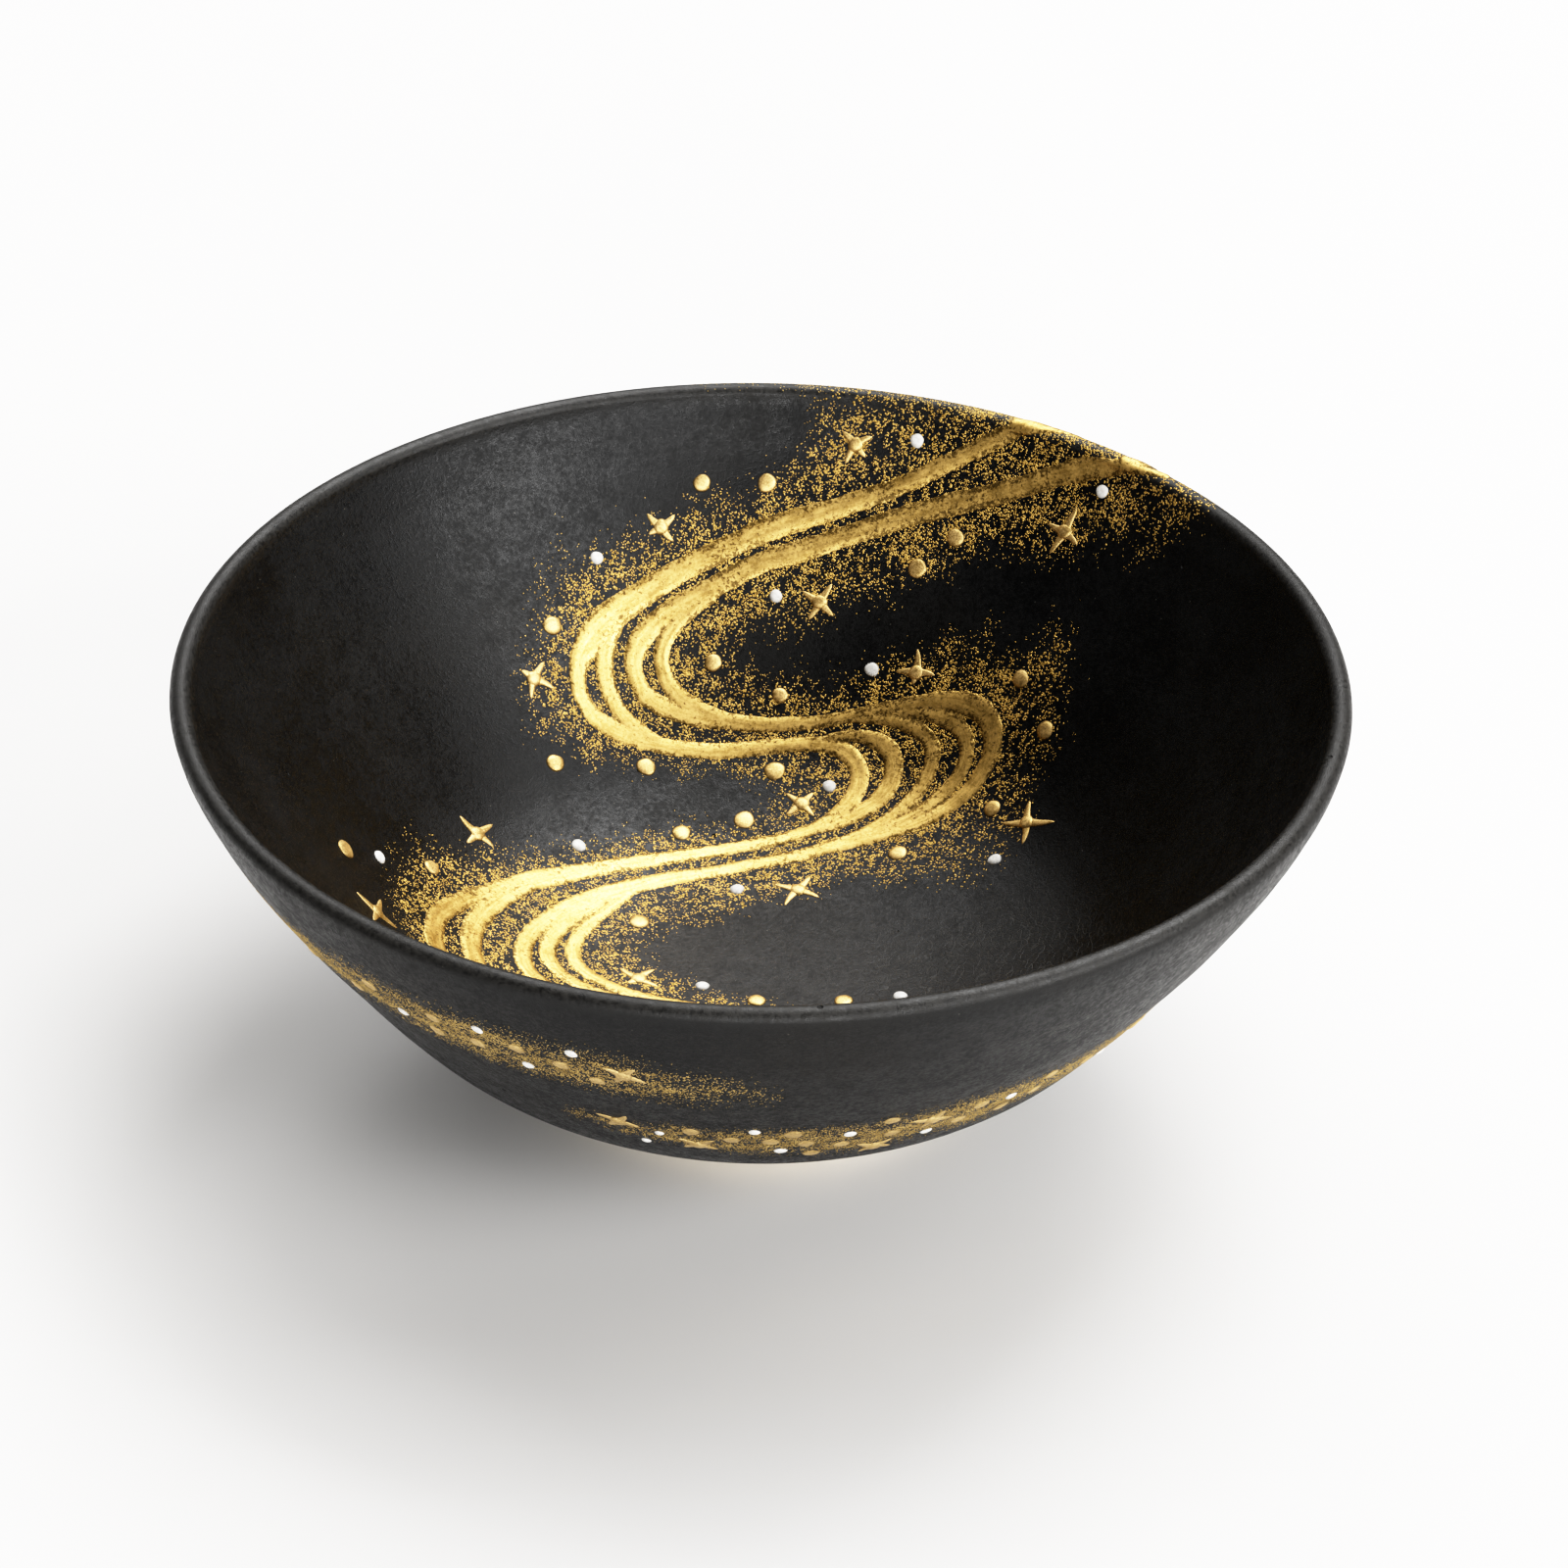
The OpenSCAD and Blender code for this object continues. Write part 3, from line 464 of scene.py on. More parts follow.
LOWER = [
    [[55, 50.6, 1.5], [50, 53.4, 1.7], [45, 55.9, 1.7], [40, 58, 1.7], [35, 59.4, 1.7],
     [30, 60.6, 1.8], [25, 61.5, 1.9], [20, 62, 1.9], [15, 62, 1.9], [10, 61.7, 1.9],
     [5, 61.1, 2], [0, 60.3, 2], [-5, 58.6, 2], [-9.5, 56.6, 2], [-13, 54.9, 2],
     [-16, 52.7, 2.2], [-17.7, 50.5, 2.5], [-17.8, 48.8, 2.5], [-16.5, 47.1, 2.4],
     [-13.8, 46.2, 2.2], [-9.5, 45.9, 2.1], [-5, 45.9, 1.9], [0, 45.7, 1.7], [5, 45.7, 1.6],
     [10, 45.7, 1.4], [15, 45.8, 1.4], [20, 45.3, 1.5], [24, 44.5, 1.7], [27.5, 43.2, 2],
     [30.3, 41.2, 2.3], [31.7, 39, 2.5], [31.9, 36.8, 2.6], [30.9, 34.7, 2.5],
     [28.7, 32.8, 2.3], [25.3, 31.2, 2.2], [21, 30, 2.2], [16, 29.2, 2.2], [10, 28.2, 2.1],
     [5, 26.95, 2.1], [0, 25.8, 2], [-5, 24.2, 2.1], [-10, 22.7, 2.3], [-15, 20.7, 2.6],
     [-19.2, 18.3, 3], [-22.6, 15.9, 3], [-25.6, 13.2, 2.8], [-28, 10.2, 2.6], [-29.9, 7, 2.5],
     [-31, 3.6, 2.5], [-31.1, 0.4, 2.5], [-29.9, -2.4, 2.4], [-26.6, -4.8, 2.2],
     [-21.5, -6.3, 1.8], [-15, -7, 1.2], [-9, -7.2, 0.6]],
    [[-7, 56.9, 1], [-9.8, 55.6, 1.4], [-12.3, 53.8, 1.8], [-13.8, 51.8, 2.1], [-13.9, 50, 2.2],
     [-12.8, 48.4, 2.2], [-10.5, 47.2, 2.1], [-7.2, 46.5, 1.7], [-3, 46, 1.1]],
    [[12, 45.6, 1], [16, 44.9, 1.2], [19.6, 43.6, 1.5], [22.3, 41.8, 1.8], [23.7, 39.8, 2.1],
     [23.6, 37.8, 2.2], [22.5, 35.7, 2.3], [20.5, 33.6, 2.3], [17.7, 31.7, 2], [14, 30, 1.6],
     [9, 28.6, 1]],
    [[16, 45.6, 1], [20.5, 44.5, 1.2], [24.4, 42.9, 1.5], [27.3, 40.8, 1.8], [28.4, 38.6, 2],
     [28.2, 36.6, 2.1], [26.9, 34.8, 2.1], [24.4, 33.1, 2.1], [21, 31.4, 2], [16, 29.8, 1.6]],
    [[-20.5, 16.8, 1.6], [-23.8, 12.9, 2.1], [-26.3, 9, 2.4], [-27.8, 5.3, 2.5],
     [-27.7, 2, 2.4], [-26, -0.7, 2.2], [-22.6, -2.9, 2.1], [-17.8, -4.6, 1.9],
     [-12, -5.6, 1.6], [-5, -6.6, 1.2]],
    [[-17.5, 18.4, 1.6], [-20.3, 14.6, 1.9], [-22.6, 11, 2.1], [-24.3, 7.3, 2.2],
     [-24.6, 3.9, 2.2], [-23.2, 1, 2.1], [-20, -1.4, 2], [-15.2, -3.4, 1.9], [-9, -5, 1.9],
     [-2, -6.5, 1.9], [6, -8.2, 1.9], [14, -10.8, 1.9], [22, -14.8, 1.8], [29, -20.4, 1.6],
     [34.5, -27.5, 1.3], [38, -35, 0.9], [39.5, -42, 0.4]]]
# the two tails outside, [along the wall, height, width], facing this azimuth
TAIL_AZ = math.radians(52)
UPPER_TAIL = [[12, 62, 2.4], [7, 58.8, 2.4], [0.5, 55.4, 2.2], [-6.5, 51.8, 1.9],
              [-13.5, 48, 1.3], [-19, 45, 0.5]]
LOWER_TAIL = [[-5.5, 61.5, 2.2], [-10.5, 58.4, 2.2], [-16.5, 55, 2], [-22.5, 51.6, 1.6],
              [-28.5, 48.4, 1], [-33, 46, 0.4]]


def tail_in_plan(points):
    out = []
    for along, up, w in points:
        s = float(s_of_height(up))
        r = float(np.interp(s, LINE_S, LINE[:, 0]))
        rho = float(np.interp(s, LINE_S, RHO))
        th = TAIL_AZ + math.asin(along/r)
        out.append([rho*math.cos(th), rho*math.sin(th), w*(1 + rho/r)/2])
    return out


def stroke_segments(strokes):
    """Rows of x, y, width and length so far at both ends of each segment of the strokes."""
    rows = []
    for k, pts in enumerate(strokes):
        c = spline(pts, 5)
        # each stroke starts at its own place in the brush pattern, so that no two look alike
        u = np.concatenate([[0], np.cumsum(np.hypot(*np.diff(c[:, :2], axis=0).T))]) + 37*k
        for i in range(len(c) - 1):
            rows.append([*c[i], u[i], *c[i + 1], u[i + 1]])
    return np.array(rows)


def stroke_field(rows, step, reach):
    """Depth inside the nearest stroke (negative outside) and brush coordinates, on a grid."""
    lo = rows[:, [0, 1]].min(0) - reach - 2
    hi = rows[:, [0, 1]].max(0) + reach + 2
    nx, ny = np.ceil((hi - lo)/step).astype(int) + 1
    depth = np.full((nx, ny), -reach)
    along, across = np.zeros((nx, ny)), np.zeros((nx, ny))
    for x0, y0, w0, u0, x1, y1, w1, u1 in rows:
        pad = max(w0, w1)/2 + reach
        i0, i1 = (np.array([min(x0, x1) - pad, max(x0, x1) + pad]) - lo[0])/step
        j0, j1 = (np.array([min(y0, y1) - pad, max(y0, y1) + pad]) - lo[1])/step
        i0, i1 = max(0, int(i0)), min(nx, int(i1) + 2)
        j0, j1 = max(0, int(j0)), min(ny, int(j1) + 2)
        gx = (lo[0] + step*np.arange(i0, i1))[:, None]
        gy = (lo[1] + step*np.arange(j0, j1))[None, :]
        dx, dy = x1 - x0, y1 - y0
        length = math.hypot(dx, dy)
        t = np.clip(((gx - x0)*dx + (gy - y0)*dy)/length**2, 0, 1)
        w = (w0 + (w1 - w0)*t)/2
        px, py = gx - x0 - t*dx, gy - y0 - t*dy
        d = w - np.hypot(px, py)
        side = (dx*py - dy*px)/length
        sub = (slice(i0, i1), slice(j0, j1))
        win = d > depth[sub]
        depth[sub] = np.where(win, d, depth[sub])
        along[sub] = np.where(win, u0 + (u1 - u0)*t, along[sub])
        across[sub] = np.where(win, side, across[sub])
    return lo, depth, along, across


def build_stream(name, strokes, node, seed):
    """A course of the stream as one raised piece; gives back its stroke segments."""
    step = 0.17
    rows = stroke_segments(strokes)
    lo, depth, along, across = stroke_field(rows, step, 0.6)
    nx, ny = depth.shape
    x = lo[0] + step*np.arange(nx)[:, None] + np.zeros((1, ny))
    y = lo[1] + step*np.arange(ny)[None, :] + np.zeros((nx, 1))
    # a hand-drawn edge
    depth = depth + 0.16*(noise2(x, y, 1.1, seed) - 0.5) + 0.07*(noise2(x, y, 0.45, seed + 1) - 0.5)
    gx, gy = np.gradient(depth, step)
    g2 = np.maximum(gx*gx + gy*gy, 0.3)
    # the grid squares that touch the strokes; their outer points are pulled in to the edge
    inside = depth > 0
    quad = inside[:-1, :-1] | inside[1:, :-1] | inside[:-1, 1:] | inside[1:, 1:]
    used = np.zeros_like(inside)
    used[:-1, :-1] |= quad
    used[1:, :-1] |= quad
    used[:-1, 1:] |= quad
    used[1:, 1:] |= quad
    out = used & ~inside
    pull = np.where(out, np.clip(-depth, 0, 0.9*step)/g2, 0)
    x, y = x + pull*gx, y + pull*gy
    d = np.where(out, 0, depth)
    edge = 1 - (1 - np.clip(d/0.7, 0, 1))**2
    hairs = (np.sin(across*5.1 + 2.2*np.sin(along/9) + seed)
             + 0.7*np.sin(across*8.7 - 1.7*np.sin(along/6.3 + 1)))
    height = edge*(0.15 + 0.008*hairs*smooth(d, 0.15, 0.5))
    height += edge*0.05*(noise2(x, y, 1.8, seed + 2) - 0.5)
    number = np.cumsum(used.ravel()).reshape(used.shape) - 1
    rho, th = np.hypot(x, y)[used], np.arctan2(y, x)[used]
    s = s_of_rho(rho)
    n = len(s)
    top, under = skin(s, th, height[used]), skin(s, th, -STROKE_ROOT)
    q = np.stack([number[:-1, :-1][quad], number[1:, :-1][quad], number[1:, 1:][quad],
                  number[:-1, 1:][quad]], 1)
    # the walls of the edge close the stroke down into the glaze
    e = np.concatenate([q[:, [k, (k + 1) % 4]] for k in range(4)])
    key = e[:, 0]*n + e[:, 1]
    rim = e[~np.isin(key, e[:, 1]*n + e[:, 0])]
    faces = (q.tolist() + (q[:, ::-1] + n).tolist()
             + np.stack([rim[:, 1], rim[:, 0], rim[:, 0] + n, rim[:, 1] + n], 1).tolist())
    rimmed = 1 - smooth(d[used], 0.0, 0.75)
    uv = np.stack([along[used], across[used]], 1)
    piece(name, np.concatenate([top, under]), faces, STREAM_GOLD, [node],
          {"rim": np.concatenate([0.85*rimmed, np.ones(n)])}, np.concatenate([uv, uv]))
    return rows


# ---------------------------------------------------------------- drops and stars
def place(s0, th0, a, b, h):
    """Points a along the section and b around, h above the glaze, near one place on it."""
    r0 = float(np.interp(s0, LINE_S, LINE[:, 0]))
    return skin(s0 + np.asarray(a), th0 + np.asarray(b)/r0, h)


def drop_mesh(s0, th0, size, high, rng, segs=24, rings=7):
    """A slightly uneven round drop of enamel, closed under the glaze."""
    phi = np.arange(segs)*TAU/segs
    wave = 1 + sum(much*np.sin(lobes*phi + rng.uniform(0, TAU))
                   for much, lobes in ((0.035, 2), (0.025, 3), (0.015, 5)))
    lean = rng.uniform(-0.12, 0.12, 2)*size/2
    pts, rim = [], []
    for i in range(rings):
        q = (i + 1)/rings
        a = size/2*q*wave*np.cos(phi) + lean[0]*(1 - q)
        b = size/2*q*wave*np.sin(phi) + lean[1]*(1 - q)
        pts.append(place(s0, th0, a, b, high*(1 - q**3.2)**0.9 if q < 1 else 0.0))
        rim.append(np.full(segs, q**3))
    pts.append(place(s0, th0, size/2*wave*np.cos(phi), size/2*wave*np.sin(phi), -DROP_ROOT))
    rim.append(np.ones(segs))
    top = place(s0, th0, lean[0], lean[1], high)
    low = place(s0, th0, 0, 0, -DROP_ROOT)
    verts, faces = lathe(np.array(pts), top, low)
    return verts, faces, np.concatenate([[0], *rim, [1]])


def ray_mesh(s0, th0, tip, high, rng):
    """A tapering ray from the middle of a star to tip = (along the section, around)."""
    length = math.hypot(*tip)
    ux, uy = tip[0]/length, tip[1]/length
    bend = rng.uniform(-0.05, 0.05)*length
    # its cross-section: places across, in half widths, and how near the edge each one is
    across = np.array([-1, -0.75, -0.3, 0.3, 0.75, 1, 0])
    rim = [1, 0.55, 0.1, 0.1, 0.55, 1, 1]
    cuts, m = 10, len(across)
    pts = []
    for v in np.linspace(0, 1, cuts):
        w = 0.5*(1 - v)**2 + 0.38*(1 - v**8) + 0.03
        h = high*(1.05 - 0.55*v)*(1 - v**8) + 0.02
        heights = np.array([-0.15, 0.62*h, h, h, 0.62*h, -0.15, -DROP_ROOT])
        mid = length*v
        side = w*across + bend*math.sin(math.pi*v)
        pts.append(place(s0, th0, mid*ux - side*uy, mid*uy + side*ux, heights))
    faces = [[i*m + j, (i + 1)*m + j, (i + 1)*m + (j + 1) % m, i*m + (j + 1) % m]
             for i in range(cuts - 1) for j in range(m)]
    faces += [list(range(m)), [(cuts - 1)*m + j for j in range(m)][::-1]]
    return np.array(pts).reshape(-1, 3), faces, np.tile(rim, cuts)


def gather(parts):
    """One set of points, faces and rim values from several."""
    verts, faces, rims, n = [], [], [], 0
    for v, f, r in parts:
        verts.append(v)
        faces += [[n + i for i in face] for face in f]
        rims.append(r)
        n += len(v)
    return np.concatenate(verts), faces, {"rim": np.concatenate(rims)}


def inside_place(x, y):
    return float(s_of_rho(math.hypot(x, y))), math.atan2(y, x)


def outside_place(az, z):
    return float(s_of_height(z)), math.radians(az)


# [x, y, size against the ordinary drop]
GOLD_IN = [
    [-8.8, 66.1, 1], [0.3, 66.6, 1.05], [-29.1, 49.2, 1], [-28.2, 35.6, 1.05], [-15.8, 39, 1.02],
    [2, 40.2, 1.15], [-6.8, 51.3, 1], [2.6, 48.7, 0.9], [21.4, 57.3, 1.1], [26.6, 58.5, 0.95],
    [35.6, 41.9, 1], [38.8, 34.7, 1], [31.8, 29, 1], [-10.7, 30.1, 1], [-2.1, 32.9, 1.15],
    [19, 25.9, 1], [-43.6, 10.6, 0.95], [-53.9, 0.1, 1.15], [-16, 12.9, 1.05], [0, -3.3, 0.95],
    [11.5, -3.5, 1], [5, -24, 1], [-12, -22, 1.05], [30, -12, 1], [46, -22, 1], [24, -38, 1.05],
    [44, -38, 0.95], [-30, -22, 1], [-51, -16, 1.05]]
WHITE_IN = [
    [21.1, 67.2, 1], [46.2, 53.4, 1], [-23.2, 57.3, 1], [1.8, 57.4, 1], [15.3, 49.7, 1],
    [9.6, 37.7, 1], [-24.6, 24.9, 1.05], [-50, 4.9, 1.1], [-2.9, 20.8, 1], [32, 20.9, 1],
    [-7.2, -0.4, 1], [19, -3, 1], [10, -21, 1], [-21, -20, 1], [36, -16, 1], [37, -44, 1],
    [-46, -12, 1]]
# x, y, then the four ray tips as offsets seen from above
STARS_IN = [
    [12.6, 68.5, [-1.9, 1.1], [2.3, 0.2], [1.4, -1], [-1.4, -1.1]],
    [-14.4, 61.9, [-2, 0.7], [1.9, 1.3], [-1.7, -0.9], [1.8, -0.9]],
    [-31.4, 43.2, [-1.7, 0], [-0.3, -2.2], [1.4, 2.3], [2.9, 0.2]],
    [7.9, 56.6, [-2.4, 1.1], [1.7, 1.4], [2, -1.4], [-1.5, -1.4]],
    [21.4, 48, [0.2, 2.1], [2.6, -1], [-2.8, 0.8], [-0.4, -1]],
    [41.3, 53, [-2.2, 1.8], [1.7, -2], [-2, -0.9], [1.6, 1.1]],
    [-38.1, 20.6, [-2.4, 1], [1.9, 2.6], [2.2, -0.8], [-1.3, -2.4]],
    [5.8, 35.4, [-2.2, 1.6], [1.6, 1.5], [1.7, -2], [-2, -1.7]],
    [36.3, 24.7, [-3.2, 1.6], [0.5, 2.8], [3.7, -2.2], [-0.6, -3]],
    [5.4, 20.8, [-3.3, 1.1], [1.7, 2.5], [2.9, -1.6], [-1.8, -3.2]],
    [-49.4, -7, [0.1, 3.6], [-2.6, -0.2], [2.5, 0.3], [-0.2, -3.2]],
    [-15.7, 0.5, [-2.6, 2], [2.1, 2.3], [2.6, -1.5], [-1.5, -1.3]],
    [-4, -22, [-2.6, 1.4], [1.4, 2.8], [2.8, -1.6], [-1.2, -2.8]],
    [40, -27, [-1.6, 2], [1.8, 2.4], [2, -2.2], [-1.6, -2]]]
# [azimuth, height, size]
GOLD_OUT = [
    [-131.5, 47, 1], [-135.5, 43.2, 1], [-123.5, 46.4, 1], [-124.5, 42.6, 1], [-119, 44, 1],
    [-114, 46, 1], [-109.6, 44.6, 1], [-106.2, 42.2, 0.9], [-97.6, 29.8, 1], [-92.8, 28, 1],
    [-88, 27.6, 1], [-85.4, 29.9, 1.1], [-83.6, 26.6, 1], [-82.5, 22.8, 1], [-78.9, 25.4, 1],
    [-73.8, 31.4, 1], [-72.8, 27, 1], [-63.6, 26.4, 1], [-61.7, 29.6, 1], [-56.9, 25.6, 1],
    [-52.4, 31.2, 1], [-52.8, 27.4, 1], [-45, 29, 1], [-37, 31.5, 1], [-26, 30.5, 1],
    [-19, 35, 1.05], [-8, 35.5, 1], [5, 39, 1], [15, 43.5, 1], [24, 39.5, 1], [28, 49, 1],
    [57, 46, 1.05], [72, 54, 1], [86, 51, 1], [103, 52, 1], [120, 49.5, 1], [138, 47.5, 1],
    [157, 46.5, 1], [172, 49, 1.05], [-170, 44, 1], [-144, 42.5, 1]]
WHITE_OUT = [
    [-128.6, 43.6, 1], [-117.8, 48, 1], [-107.8, 48.4, 1], [-113.8, 42, 1], [-101.6, 28.2, 0.8],
    [-104, 24.6, 0.8], [-90, 30.8, 1], [-86.6, 24.2, 1], [-78.4, 28.8, 1], [-67.4, 24.8, 1],
    [-57.2, 29, 1], [-41, 27.5, 1], [-30, 34.5, 1], [-13, 32.5, 1], [9, 44.5, 1], [33, 43.5, 1],
    [80, 56, 1], [111, 53.5, 1], [130, 52, 1], [150, 50.5, 1], [-177, 43, 1]]
# azimuth, height, then ray tips as [to the right, up the wall]
STARS_OUT = [
    [-103, 45, [-2.5, 1.5], [1.6, 2.4], [2.6, -1.4], [-1.4, -2.5]],
    [-106.4, 30, [-2.6, 1.2], [1.4, 2.4], [2.6, -1.2], [-1.6, -2.4]],
    [-97, 25.6, [-2.3, 1.8], [1.9, 2.1], [2.3, -1.7], [-2, -2]],
    [-68, 29, [-2.8, 0.8], [0.9, 2.6], [2.8, -0.8], [-0.8, -2.6]],
    [-74, 23, [-2.4, 1.6], [1.8, 1.9], [2.4, -1.4], [-1.6, -2.2]],
    [-33, 27, [-2.4, 1.6], [1.6, 2.2], [2.4, -1.6], [-1.8, -2.2]],
    [-3, 39.5, [-2.6, 1.2], [1.2, 2.6], [2.6, -1.2], [-1.2, -2.4]],
    [20, 47, [-2.2, 1.9], [2, 2.1], [2.3, -1.8], [-1.9, -2]],
    [94, 55, [-2.6, 0.8], [1.1, 1.8], [2.6, -0.9], [-1, -2.4]],
    [128, 46, [-2.3, 1.6], [1.8, 2.2], [2.4, -1.6], [-1.7, -2.2]],
    [164, 44, [-2.6, 1.1], [1.2, 2.5], [2.5, -1.3], [-1.3, -2.4]],
    [-162, 49.5, [-2.4, 1.7], [1.5, 2.4], [2.5, -1.5], [-1.6, -2.3]]]
# width and height of the drops, and of a star's middle and its rays
GOLD_D, GOLD_H = 2.6, 0.29
WHITE_D, WHITE_H = 1.95, 0.34
STAR_D, STAR_H, RAY_H = 0.88*2.6, 0.38, 0.17
# the drops outside are smaller and flatter
OUTSIDE_D, OUTSIDE_H = 0.84, 0.7


def build_drops():
    out_d, out_h = OUTSIDE_D, OUTSIDE_H
    for name, node, where, spots, d, h, mat, slot in (
            ("gold_drops_inside", "gold_dots_inside", inside_place, GOLD_IN,
             GOLD_D, GOLD_H, DROP_GOLD, "gold"),
            ("gold_drops_outside", "gold_dots_outside", outside_place, GOLD_OUT,
             out_d*GOLD_D, out_h*GOLD_H, OUTSIDE_SHADE_GOLD, "gold"),
            ("white_drops_inside", "white_dots_inside", inside_place, WHITE_IN,
             WHITE_D, WHITE_H, WHITE, "white_enamel"),
            ("white_drops_outside", "white_dots_outside", outside_place, WHITE_OUT,
             out_d*WHITE_D, out_h*WHITE_H, WHITE, "white_enamel")):
        rng = np.random.default_rng(len(spots))
        parts = []
        for p, q, size in spots:
            s0, th0 = where(p, q)
            parts.append(drop_mesh(s0, th0, d*size*rng.uniform(0.95, 1.05), h, rng))
        verts, faces, values = gather(parts)
        piece(name, verts, faces, mat, [node], values)


def build_stars():
    rng = np.random.default_rng(12)
    for name, node, spots, mat in (
            ("gold_star_inside", "gold_stars_inside", STARS_IN, DROP_GOLD),
            ("gold_star_outside", "gold_stars_outside", STARS_OUT, OUTSIDE_SHADE_GOLD)):
        parts = []
        for p, q, *tips in spots:
            s0, th0 = inside_place(p, q) if spots is STARS_IN else outside_place(p, q)
            r0 = float(np.interp(s0, LINE_S, LINE[:, 0]))
            for tip in tips:
                if spots is STARS_IN:
                    s1, th1 = inside_place(p + tip[0], q + tip[1])
                    turn = (th1 - th0 + math.pi) % TAU - math.pi
                    tip = (s1 - s0, turn*r0)
                else:
                    tip = (-tip[1], tip[0])
                parts.append(ray_mesh(s0, th0, tip, RAY_H, rng))
            parts.append(drop_mesh(s0, th0, STAR_D, STAR_H, rng))
        verts, faces, values = gather(parts)
        piece(name, verts, faces, mat, [node], values)


# ---------------------------------------------------------------- gold dust
# outline of the dusted area in the unfolded design
DUST = [
    (8, 90), (8, 76), (6, 71), (3, 68), (-3, 66), (-9, 64.5), (-15, 63), (-20, 60.5), (-25, 58.5),
    (-29, 55.5), (-30, 53), (-31, 49), (-33, 46), (-33.5, 43), (-32, 40), (-31.5, 37.5),
    (-27, 36.5), (-20, 37.5), (-13, 39.5), (-4, 39.3), (1, 38.6), (2, 36), (2, 33.5), (-4, 32.2),
    (-12, 31), (-20, 28), (-27, 24.5), (-33, 21), (-40, 17), (-46, 13), (-48.5, 6), (-48, -2),
    (-45, -8), (-40, -14), (-30, -17.5), (-14, -18.5), (0, -20), (14, -24), (22, -30), (28, -40),
    (31, -48), (40, -48), (43, -38), (40, -28), (33, -19), (24, -12), (14, -8), (4, -5.5),
    (-3, -3.5), (-9, -2), (-10, 1), (-14, 4), (-15, 8), (-12, 10), (-4, 14), (4, 18), (12, 22),
    (20, 20), (30, 18), (34, 20), (36, 24), (38, 30), (42, 33), (43.5, 39), (42, 45), (34, 47),
    (30, 49.5), (20, 50.5), (8, 50), (0, 51), (-3, 52.5), (-2, 54), (5, 54.3), (10, 55.5),
    (20, 56), (30, 56), (35, 54), (42, 50), (50, 46), (58, 41), (63, 40.5), (73, 48),
    (64, 62), (46, 78), (26, 87)]
# dust outside the bowl: [azimuth, height, half width, strength]
BANDS = [
    [[-87, 43, 3.5, 0.05], [-96, 43.5, 5.5, 0.35], [-106, 44.5, 6, 0.6], [-118, 45, 6, 0.65],
     [-130, 45, 5.5, 0.65], [-142, 45, 5, 0.6], [-155, 46, 4.5, 0.55], [-170, 46.5, 4.5, 0.5],
     [-185, 47, 4.5, 0.5], [-200, 48, 4.5, 0.5], [-215, 49.5, 4.5, 0.5], [-232, 51, 4.5, 0.5],
     [-250, 53, 5, 0.5], [-268, 55, 5.5, 0.55], [-284, 57, 6, 0.6], [-300, 58, 7, 0.6]],
    [[60, 58, 7, 0.6], [48, 53, 7, 0.6], [36, 48, 6, 0.55], [20, 43.5, 5.5, 0.5],
     [5, 39.5, 5.5, 0.5], [-10, 35, 5.5, 0.5], [-25, 32, 5.5, 0.55], [-40, 29.5, 6, 0.6],
     [-55, 28.5, 6, 0.65], [-70, 27.5, 6, 0.7], [-85, 27, 5.5, 0.7], [-97, 27.5, 4.5, 0.6],
     [-106, 28.5, 3.5, 0.45], [-114, 29.5, 2.5, 0.1]]]


def polygon_depth(x, y, poly):
    """Distance to a polygon's edge, positive inside."""
    p = np.array(poly, float)
    q = np.roll(p, -1, 0)
    best = np.full(x.shape, 1e9)
    odd = np.zeros(x.shape, bool)
    for (ax, ay), (bx, by) in zip(p, q):
        dx, dy = bx - ax, by - ay
        t = np.clip(((x - ax)*dx + (y - ay)*dy)/(dx*dx + dy*dy), 0, 1)
        best = np.minimum(best, np.hypot(x - ax - t*dx, y - ay - t*dy))
        if ay != by:
            odd ^= ((ay > y) != (by > y)) & (x < ax + (y - ay)*dx/dy)
    return np.where(odd, best, -best)


def flecks(name, s, th, size, rng, mat):
    """Closed five-sided flecks of gold lying on the glaze."""
    n, k = len(s), 5
    turn = rng.uniform(0, TAU, n)
    stretch = rng.uniform(1, 1.9, n)
    phi = (np.arange(k)[None, :] + rng.uniform(-0.3, 0.3, (n, k)))*TAU/k
    rad = size[:, None]*rng.uniform(0.65, 1.25, (n, k))
    px, py = rad*np.cos(phi)*np.sqrt(stretch)[:, None], rad*np.sin(phi)/np.sqrt(stretch)[:, None]
    a = px*np.cos(turn)[:, None] - py*np.sin(turn)[:, None]
    b = px*np.sin(turn)[:, None] + py*np.cos(turn)[:, None]
    r0 = np.interp(s, LINE_S, LINE[:, 0])[:, None]
    base = skin(s[:, None] + a, th[:, None] + b/r0, -FLECK_ROOT)
    high = rng.uniform(0.03, 0.06, n)
    tip = skin(s + 0.2*a[:, 0], th + 0.2*b[:, 0]/r0[:, 0], high)
    verts = np.concatenate([tip[:, None, :], base], 1).reshape(-1, 3)
    start = (k + 1)*np.arange(n)[:, None]
    sides = np.stack([[0, 1 + j, 1 + (j + 1) % k] for j in range(k)])
    tris = (start[:, :, None] + sides[None]).reshape(-1, 3).tolist()
    under = (start + np.arange(k, 0, -1)[None, :]).tolist()
    piece(name, verts, tris + under, mat, (), {"rim": np.zeros(len(verts))})


def scatter(name, s, th, size, rng, mat, pieces):
    """The flecks in several pieces, each small enough to print."""
    for k, part in enumerate(np.array_split(np.arange(len(s)), pieces)):
        flecks(name + "abcde"[k], s[part], th[part], size[part], rng, mat)


